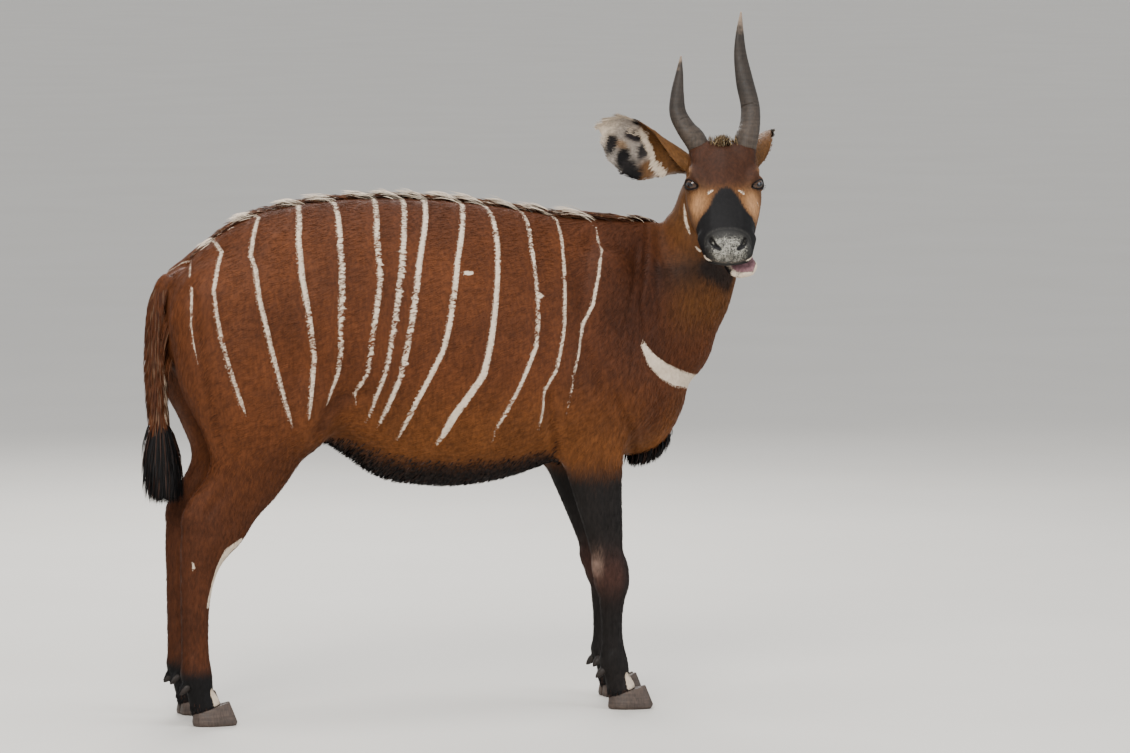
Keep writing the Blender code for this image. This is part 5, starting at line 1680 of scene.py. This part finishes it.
def lashes(side, ground, stuff):
    """The lashes of the upper lid."""
    into = eye_frame(side)
    draw = np.random.default_rng(71)
    count = 44
    around = draw.uniform(0.08, 0.44, count)
    spots = lid_spots(around, draw.uniform(0.22, 0.36, count), into, ground)
    turn = np.array(into.to_3x3())
    flat = spots[:, :2] / np.array(EYE_OPENING)
    start = np.column_stack([flat[:, 0] * 0.5, np.full(count, 0.25), np.full(count, 0.9)])
    end = np.column_stack([flat[:, 0] * 0.7, np.full(count, 0.9), np.full(count, 0.6)])
    jitter = draw.normal(0, 0.12, (count, 3))
    lines = strands(transformed(spots, into), unit((start + jitter) @ turn.T), unit((end + jitter) @ turn.T),
                    draw.uniform(0.005, 0.008, count))
    normals = np.tile(turn[:, 2], (count, 1))
    long_hair(f"lashes_{side}", lines, normals, np.full(count, 0.0004), np.tile(BLACK_HAIR, (count, 1)),
              np.full(count, FAR), ground["unwrap"], stuff, draw)


# Horns: middle lines in the head's frame, with the radius last
HORNS = {
    "left": [
        (0.030, 0.036, -0.060, 0.016), (0.010, 0.046, -0.030, 0.027), (-0.012, 0.057, 0.003, 0.029),
        (-0.042, 0.068, 0.026, 0.0235), (-0.090, 0.071, 0.045, 0.0205), (-0.150, 0.060, 0.070, 0.0195),
        (-0.210, 0.050, 0.105, 0.0150), (-0.255, 0.049, 0.140, 0.0095), (-0.290, 0.052, 0.172, 0.0020),
    ],
    "right": [
        (0.030, -0.030, -0.060, 0.016), (0.010, -0.044, -0.030, 0.026), (-0.013, -0.065, 0.002, 0.027),
        (-0.034, -0.088, 0.022, 0.0225), (-0.070, -0.107, 0.040, 0.0185), (-0.112, -0.107, 0.062, 0.0150),
        (-0.156, -0.100, 0.090, 0.0095), (-0.192, -0.095, 0.116, 0.0020),
    ],
}
HORN_TWIST = math.radians(160.0)


def horn(side, stuff):
    """A half-twisted horn with its keel and the low rings of its growth."""
    flip = 1 if side == "left" else -1

    def section(u, v, share):
        angle = np.arctan2(v, u)
        keel = 1.0 + 0.22 * np.maximum(0.0, np.cos(angle)) ** 3
        ripple = 1.0 + 0.012 * np.sin(share * 150.0) * ramp(-share, -0.62, -0.20)
        across, up = np.cos(angle) * keel * ripple, np.sin(angle) * 0.90 * ripple
        turn = flip * HORN_TWIST * share
        return across * np.cos(turn) - up * np.sin(turn), across * np.sin(turn) + up * np.cos(turn)

    obj = tube(f"horn_sheath_{side}", HORNS[side], 40, 130, section)
    points = places(obj)
    root, tip = HORNS[side][0][0], HORNS[side][-1][0]
    write_floats(obj.data, "along", (points[:, 0] - root) / (tip - root))
    set_places(obj, transformed(points, HEAD))
    obj.data.materials.append(stuff)
    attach(obj, "root")
    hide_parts(f"horn_{side}")


# Ears
EAR_LENGTH = 0.250
EAR_THICKNESS = 0.0045
EAR_LOBE = 0.55
EAR_SHAPE = [
    (0.00, 0.050, 158.0, -70.0), (0.15, 0.060, 128.0, -55.0), (0.32, 0.070, 94.0, -36.0),
    (0.50, 0.076, 66.0, -18.0), (0.68, 0.072, 54.0, -6.0), (0.84, 0.057, 44.0, 0.0),
    (0.95, 0.034, 36.0, 0.0), (1.00, 0.012, 30.0, 0.0),
]
EAR_FRAMES = {
    "right": ((0.010, -0.058, -0.072), (-0.090, -0.268, -0.030), (0.88, -0.30, 0.34)),
    "left": ((0.004, 0.056, -0.066), (-0.176, 0.100, -0.158), (0.34, 0.86, -0.38)),
}


def ear_frame(side):
    root, tip, opening = EAR_FRAMES[side]
    along = (Vector(tip) - Vector(root)).normalized()
    face = Vector(opening)
    face = (face - along * face.dot(along)).normalized()
    across = face.cross(along)
    turn = Matrix((along, across, face)).transposed().to_4x4()
    return HEAD @ Matrix.Translation(root) @ turn


def ear_spots(share, across, depth, side):
    """Places on the ear in the world: share of its length, across it and depth from its back."""
    shares, halves, rolls, turns = zip(*EAR_SHAPE)
    flip = 1 if side == "right" else -1
    half = np.interp(share, shares, halves)
    half = half * (1 + EAR_LOBE * np.sin(np.pi * share) * np.maximum(0.0, across))
    roll = np.radians(np.interp(share, shares, rolls))
    turn = np.radians(np.interp(share, shares, turns))
    radius = half / roll
    angle = roll * across
    middle = radius * (1 + np.cos(roll)) / 2
    y = (radius - depth) * np.sin(angle)
    z = middle - (radius - depth) * np.cos(angle) - 0.012 * np.sin(np.pi * share)
    y, z = y * np.cos(turn) - z * np.sin(turn), y * np.sin(turn) + z * np.cos(turn)
    return transformed(np.column_stack([EAR_LENGTH * share, y * flip, z]), ear_frame(side))


# Patches of hair in the hollow: share of the ear's length, place across, their reaches, colour
EAR_PATCHES = [
    (0.98, 0.00, 0.100, 0.90, CREAM),
    (0.78, 0.40, 0.055, 0.13, (0.300, 0.190, 0.110)),
    (0.47, 0.80, 0.085, 0.24, (0.130, 0.062, 0.024)),
    (0.870, 0.58, 0.048, 0.40, (0.012, 0.010, 0.010)),
    (0.70, -0.08, 0.080, 0.22, (0.030, 0.024, 0.026)),
    (0.64, -0.14, 0.050, 0.20, (0.012, 0.009, 0.010)),
    (0.57, 0.36, 0.050, 0.22, (0.026, 0.023, 0.022)),
    (0.68, -0.82, 0.060, 0.14, BLACK_HAIR),
    (0.72, 0.70, 0.062, 0.26, BLACK_HAIR),
    (0.63, 0.88, 0.060, 0.22, (0.012, 0.010, 0.010)),
    (0.56, 0.94, 0.065, 0.16, BLACK_HAIR),
]
EAR_BROWN = (0.100, 0.0430, 0.0125)
# Where brown hair ends and the hollow's pale hair begins: shares of the length and places across
EAR_LINE = ((0.28, 0.44, 0.50, 0.60, 0.66), (0.92, 0.62, 0.25, -0.15, -0.60))


def ear_tone(share, across, inside):
    """Brown back with a black tip; in the hollow pale hair with black and orange patches."""
    count = len(share)
    back = np.tile(EAR_BROWN, (count, 1)).astype(float)
    back = blend(back, BLACK_HAIR, 0.9 * ramp(share, 0.84, 0.95))
    hollow = np.tile((0.400, 0.350, 0.300), (count, 1)).astype(float)
    hollow = blend(hollow, (0.170, 0.120, 0.090), 0.8 * ramp(-share, -0.55, -0.30))
    for middle, place, length, width, colour in EAR_PATCHES:
        near = np.exp(-((share - middle) / length) ** 2 - ((across - place) / width) ** 2)
        hollow = blend(hollow, colour, np.clip(1.9 * near, 0, 1))
    folded = ramp(np.interp(share, *EAR_LINE) - across, -0.06, 0.06) * ramp(-share, -0.68, -0.64)
    hollow = blend(hollow, EAR_BROWN, folded)
    return np.where(inside[:, None], hollow, back)


def ear(side, stuff):
    """A thin cupped ear, its back and its hollow in one closed skin, with its hair."""

    def across_of(around):
        turn = around * 2
        return np.where(turn < 1, turn * 2 - 1, 3 - turn * 2)

    def place(around, along):
        across = across_of(around)
        rim = np.clip((1 - np.abs(across)) / 0.06, 0, 1)
        thick = EAR_THICKNESS * np.sqrt(rim)
        depth = (EAR_THICKNESS + np.where(around < 0.5, -thick, thick)) / 2
        return ear_spots(0.02 + 0.975 * along, across * 0.985, depth, side)

    obj = wrapped(f"ear_skin_{side}", 81, 60, place)
    around = read_floats(obj.data, "around")
    share = 0.02 + 0.975 * read_floats(obj.data, "along")
    soft = obj.modifiers.new("soft", "SMOOTH")
    soft.factor = 0.5
    soft.iterations = 3
    apply_modifiers(obj)
    write_colours(obj.data, "tone", ear_tone(share, across_of(around), around > 0.5))
    write_floats(obj.data, "white", np.full(len(share), FAR))
    write_floats(obj.data, "bare", np.zeros(len(share)))
    obj.data.materials.append(stuff)
    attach(obj, "root")
    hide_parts(f"ear_{side}")
    ear_hair(side, unwrap_of(obj), stuff)


def ear_ways(share, across, depth, side):
    """Unit directions at places on the ear: to its tip, to its front edge, and into its hollow."""
    to_tip = ear_spots(share + 0.01, across, depth, side) - ear_spots(share - 0.01, across, depth, side)
    to_edge = ear_spots(share, across + 0.03, depth, side) - ear_spots(share, across - 0.03, depth, side)
    inward = ear_spots(share, across, depth + 0.001, side) - ear_spots(share, across, depth, side)
    return unit(to_tip), unit(to_edge), unit(inward)


# Hair of the ear: name, number, range of shares, range across, in the hollow or not, lengths, and
# how far it leans to the tip, the rim and out of the surface
EAR_HAIR = [
    ("back", 3000, (0.03, 0.97), (-0.98, 0.98), False, (0.007, 0.012), (1.0, 0.0, 0.14)),
    ("hollow", 2800, (0.10, 0.97), (-0.96, 0.96), True, (0.008, 0.014), (0.7, 0.5, 0.22)),
]
EAR_FRINGE = [
    (560, (0.70, 0.99), (-0.985, -0.90), (0.017, 0.034), (0.9, 0.7, 0.10), "white"),
    (220, (0.58, 0.71), (-0.985, -0.86), (0.012, 0.020), (0.9, 0.6, 0.10), "tone"),
    (320, (0.955, 0.992), (-0.95, 0.95), (0.018, 0.033), (1.0, 0.1, 0.25), "white"),
    (200, (0.78, 0.96), (0.90, 0.985), (0.010, 0.018), (0.7, 0.6, 0.10), "tone"),
    (320, (0.18, 0.80), (0.90, 0.985), (0.007, 0.012), (0.8, 0.5, 0.15), "tone"),
    (260, (0.55, 0.75), (-0.55, -0.10), (0.010, 0.018), (0.5, -0.8, 0.50), "white"),
]


def ear_hair(side, unwrap, stuff):
    draw = np.random.default_rng(81)
    for name, count, shares, places_across, inside, (short, long), lean in EAR_HAIR:
        tipward, rimward, out = lean
        share, across = draw.uniform(*shares, count), draw.uniform(*places_across, count)
        depth = np.full(count, EAR_THICKNESS if inside else 0.0)
        to_tip, to_edge, inward = ear_ways(share, across, depth, side)
        facing = inward if inside else -inward
        swing = draw.normal(0, 0.25, count)
        edgeward = to_edge * (rimward * np.sign(across) * np.abs(across) + swing)[:, None]
        way = unit(to_tip * tipward + edgeward + facing * out)
        roots = ear_spots(share, across, depth, side) - facing * 0.0004
        length = draw.uniform(short, long, count) * np.clip((1.03 - share) / 0.12, 0.35, 1)
        lines = np.stack([roots, roots + way * length[:, None]], axis=1)
        sides = unit(np.cross(way, facing))
        tone = ear_tone(share, across, np.full(count, inside))
        width = draw.uniform(0.0016, 0.0026, count)
        coat_piece(f"ear_{name}_hair_{side}", lines, sides, facing, width, width * 0.3, (1.0,), tone,
                   np.full((count, 2), FAR), unwrap, stuff, draw)
    lines, facings, tones, whites = [], [], [], []
    for count, shares, places_across, (short, long), (tipward, rimward, out), kind in EAR_FRINGE:
        share, across = draw.uniform(*shares, count), draw.uniform(*places_across, count)
        depth = np.full(count, EAR_THICKNESS * 0.5)
        to_tip, to_edge, inward = ear_ways(share, across, depth, side)
        tuft = np.sin(share * 190.0) * 0.18
        swing = draw.normal(0, 0.12, count)
        edgeward = to_edge * (rimward * np.sign(across) * np.abs(across) + swing + tuft)[:, None]
        start = unit(to_tip * tipward + edgeward + inward * out)
        end = unit(to_tip * (tipward + 0.5) + edgeward * 0.6 + draw.normal(0, 0.10, (count, 3)))
        roots = ear_spots(share, across, depth, side)
        lines.append(strands(roots, start, end, draw.uniform(short, long, count)))
        facings.append(inward)
        tones.append(ear_tone(share, across, np.full(count, True)))
        whites.append(np.full(count, IN_WHITE if kind == "white" else FAR))
    ends, places_there = EAR_LINE
    count = 420
    share = draw.uniform(ends[0], ends[-1], count)
    across = np.interp(share, ends, places_there) + draw.normal(0, 0.05, count)
    depth = np.full(count, EAR_THICKNESS)
    to_tip, to_edge, inward = ear_ways(share, across, depth, side)
    start = unit(to_edge * 0.9 + inward * 0.8 + to_tip * 0.3)
    end = unit(to_edge * 1.0 + inward * 0.1 + to_tip * 0.5)
    roots = ear_spots(share, across, depth, side)
    lines.append(strands(roots, start, end, draw.uniform(0.010, 0.019, count)))
    facings.append(inward)
    tones.append(ear_tone(share, across, np.full(count, True)))
    whites.append(np.full(count, IN_WHITE))
    lines, facings, tones, whites = (np.concatenate(part) for part in (lines, facings, tones, whites))
    long_hair(f"ear_fringe_{side}", lines, facings, draw.uniform(0.0011, 0.0020, len(lines)), tones, whites,
              unwrap, stuff, draw)


# Hoofs
def hoof(node_name, stuff):
    """A finer copy of one toe's horn, its edges worn round."""
    obj = new_object(node_name.replace("hoof", "toe"), frame["nodes"][node_name].data.copy())
    on_all(obj, bpy.ops.mesh.remove_doubles, threshold=MERGED)
    on_all(obj, bpy.ops.mesh.dissolve_limited, angle_limit=math.radians(2))
    bevel = obj.modifiers.new("worn", "BEVEL")
    bevel.width = 0.0035
    bevel.segments = 3
    bevel.limit_method = "ANGLE"
    bevel.angle_limit = math.radians(28)
    apply_modifiers(obj)
    obj.data.materials.clear()
    obj.data.materials.append(stuff)
    select_only(obj)
    bpy.ops.object.shade_smooth_by_angle(angle=math.radians(40))
    write_floats(obj.data, "along", np.zeros(len(obj.data.vertices)))
    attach(obj, "root")
    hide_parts(node_name)


# The dewclaw from root to tip: distance along it and radius
DEWCLAW_ROWS = (
    (-0.006, 0.0070), (0.0, 0.0095), (0.009, 0.0092), (0.017, 0.0066), (0.023, 0.0036), (0.026, 0.0009),
)


def dewclaws(leg, stuff):
    """The two small false hoofs behind the pastern."""
    forward, sideways = toe_ways(leg)
    top = leg_spot(leg, 0.120, 0, 0) - (0, 0, 0.018)
    for hand, word in ((-1, "inner"), (1, "outer")):
        root = top - forward * 0.024 + sideways * 0.016 * hand
        way = unit(-forward * 0.75 + sideways * 0.22 * hand + np.array((0, 0, -0.75)))
        rows = [(*(root + way * along), radius) for along, radius in DEWCLAW_ROWS]
        obj = tube(f"dewclaw_{leg}_{word}", rows, 20, 16)
        write_floats(obj.data, "along", np.zeros(len(obj.data.vertices)))
        obj.data.materials.append(stuff)
        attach(obj, "root")


def tongue(stuff):
    obj = new_object("tongue_flesh", frame["nodes"]["tongue"].data.copy())
    on_all(obj, bpy.ops.mesh.remove_doubles, threshold=MERGED)
    round_off = obj.modifiers.new("round", "SUBSURF")
    round_off.levels = 2
    round_off.render_levels = 2
    apply_modifiers(obj)
    obj.data.materials.clear()
    obj.data.materials.append(stuff)
    select_only(obj)
    bpy.ops.object.shade_smooth()
    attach(obj, "root")
    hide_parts("tongue")


# Studio
def area_light(name, place, size, power, colour):
    data = bpy.data.lights.new(name, "AREA")
    data.shape = "DISK"
    data.size = size
    data.energy = power
    data.color = colour
    obj = bpy.data.objects.new(name, data)
    bpy.context.collection.objects.link(obj)
    obj.location = BODY_PLACE + Vector(place)
    aim = BODY_PLACE + Vector((0.1, 0, 0.8))
    obj.rotation_euler = (aim - obj.location).to_track_quat("-Z", "Y").to_euler()


def studio():
    world = bpy.data.worlds.new("studio")
    bpy.context.scene.world = world
    world.use_nodes = True
    background = world.node_tree.nodes["Background"]
    background.inputs["Color"].default_value = (0.93, 0.94, 0.96, 1.0)
    background.inputs["Strength"].default_value = 0.95
    area_light("key", (-2.4, -4.6, 4.4), 3.0, 420, (1.0, 0.965, 0.92))
    area_light("fill", (4.6, -4.0, 2.4), 3.6, 150, (0.93, 0.96, 1.0))
    area_light("rim", (0.8, 4.6, 3.8), 3.0, 260, (1.0, 0.98, 0.95))
    area_light("top", (0.0, 0.0, 5.2), 4.0, 160, (1.0, 1.0, 1.0))
    bpy.ops.mesh.primitive_plane_add(size=400.0, location=(0, 0, 0))
    floor = bpy.context.view_layer.objects.active
    floor.name = "floor"
    made, tree, shader = shader_of("floor")
    cloud = noise(tree, 1.3, 4.0)
    tree.links.new(mixed(tree, cloud, (0.56, 0.54, 0.50), (0.62, 0.60, 0.56)), shader.inputs["Base Color"])
    shader.inputs["Roughness"].default_value = 0.85
    floor.data.materials.append(made)


def dressed_skin(obj, ground, strokes, shade_tints, stuff):
    tone, bare = coat_tone(ground["points"], ground["normals"], shade_tints)
    write_colours(obj.data, "tone", tone)
    write_floats(obj.data, "white", white_gap(ground["points"], strokes))
    write_floats(obj.data, "bare", bare)
    obj.data.materials.clear()
    obj.data.materials.append(stuff)
    select_only(obj)
    bpy.ops.object.shade_smooth()
    for name in FLESH:
        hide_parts(name)
    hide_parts("tail")
    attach(obj, "root")


def main():
    camera()
    studio()
    coat = coat_stuff()
    obj = skin()
    refined(obj)
    relief(obj)
    strokes = white_strokes(surface_of(obj))
    thinned(obj, strokes)
    ground = ground_of(obj)
    shade_tints = shade_tint_strokes(ground)
    dressed_skin(obj, ground, strokes, shade_tints, coat)
    short_coat(ground, strokes, shade_tints, coat)
    crest(ground, strokes, coat)
    tail_hair(ground, coat)
    belly_hair(ground, coat)
    crown_hair(ground, coat)
    eyes = eye_stuff()
    sheath = horn_stuff("horn", HORN_GREY, (0.30, 0.22, 0.16), 0.98, 1.16)
    toes = horn_stuff("hoof", HOOF_GREY, (0.42, 0.36, 0.29), 2.0, 3.0)
    claws = horn_stuff("dewclaw", (0.008, 0.006, 0.005), (0.42, 0.36, 0.29), 2.0, 3.0)
    for side in ("left", "right"):
        eyeball(side, eyes)
        lids(side, ground, shade_tints, coat)
        lashes(side, ground, coat)
        horn(side, sheath)
        ear(side, coat)
    for leg in LEGS:
        for toe in ("inner", "outer"):
            hoof(f"hoof_{leg}_{toe}", toes)
        dewclaws(leg, claws)
    tongue(wet_stuff("mouth", (0.30, 0.17, 0.18), 0.32))


main()
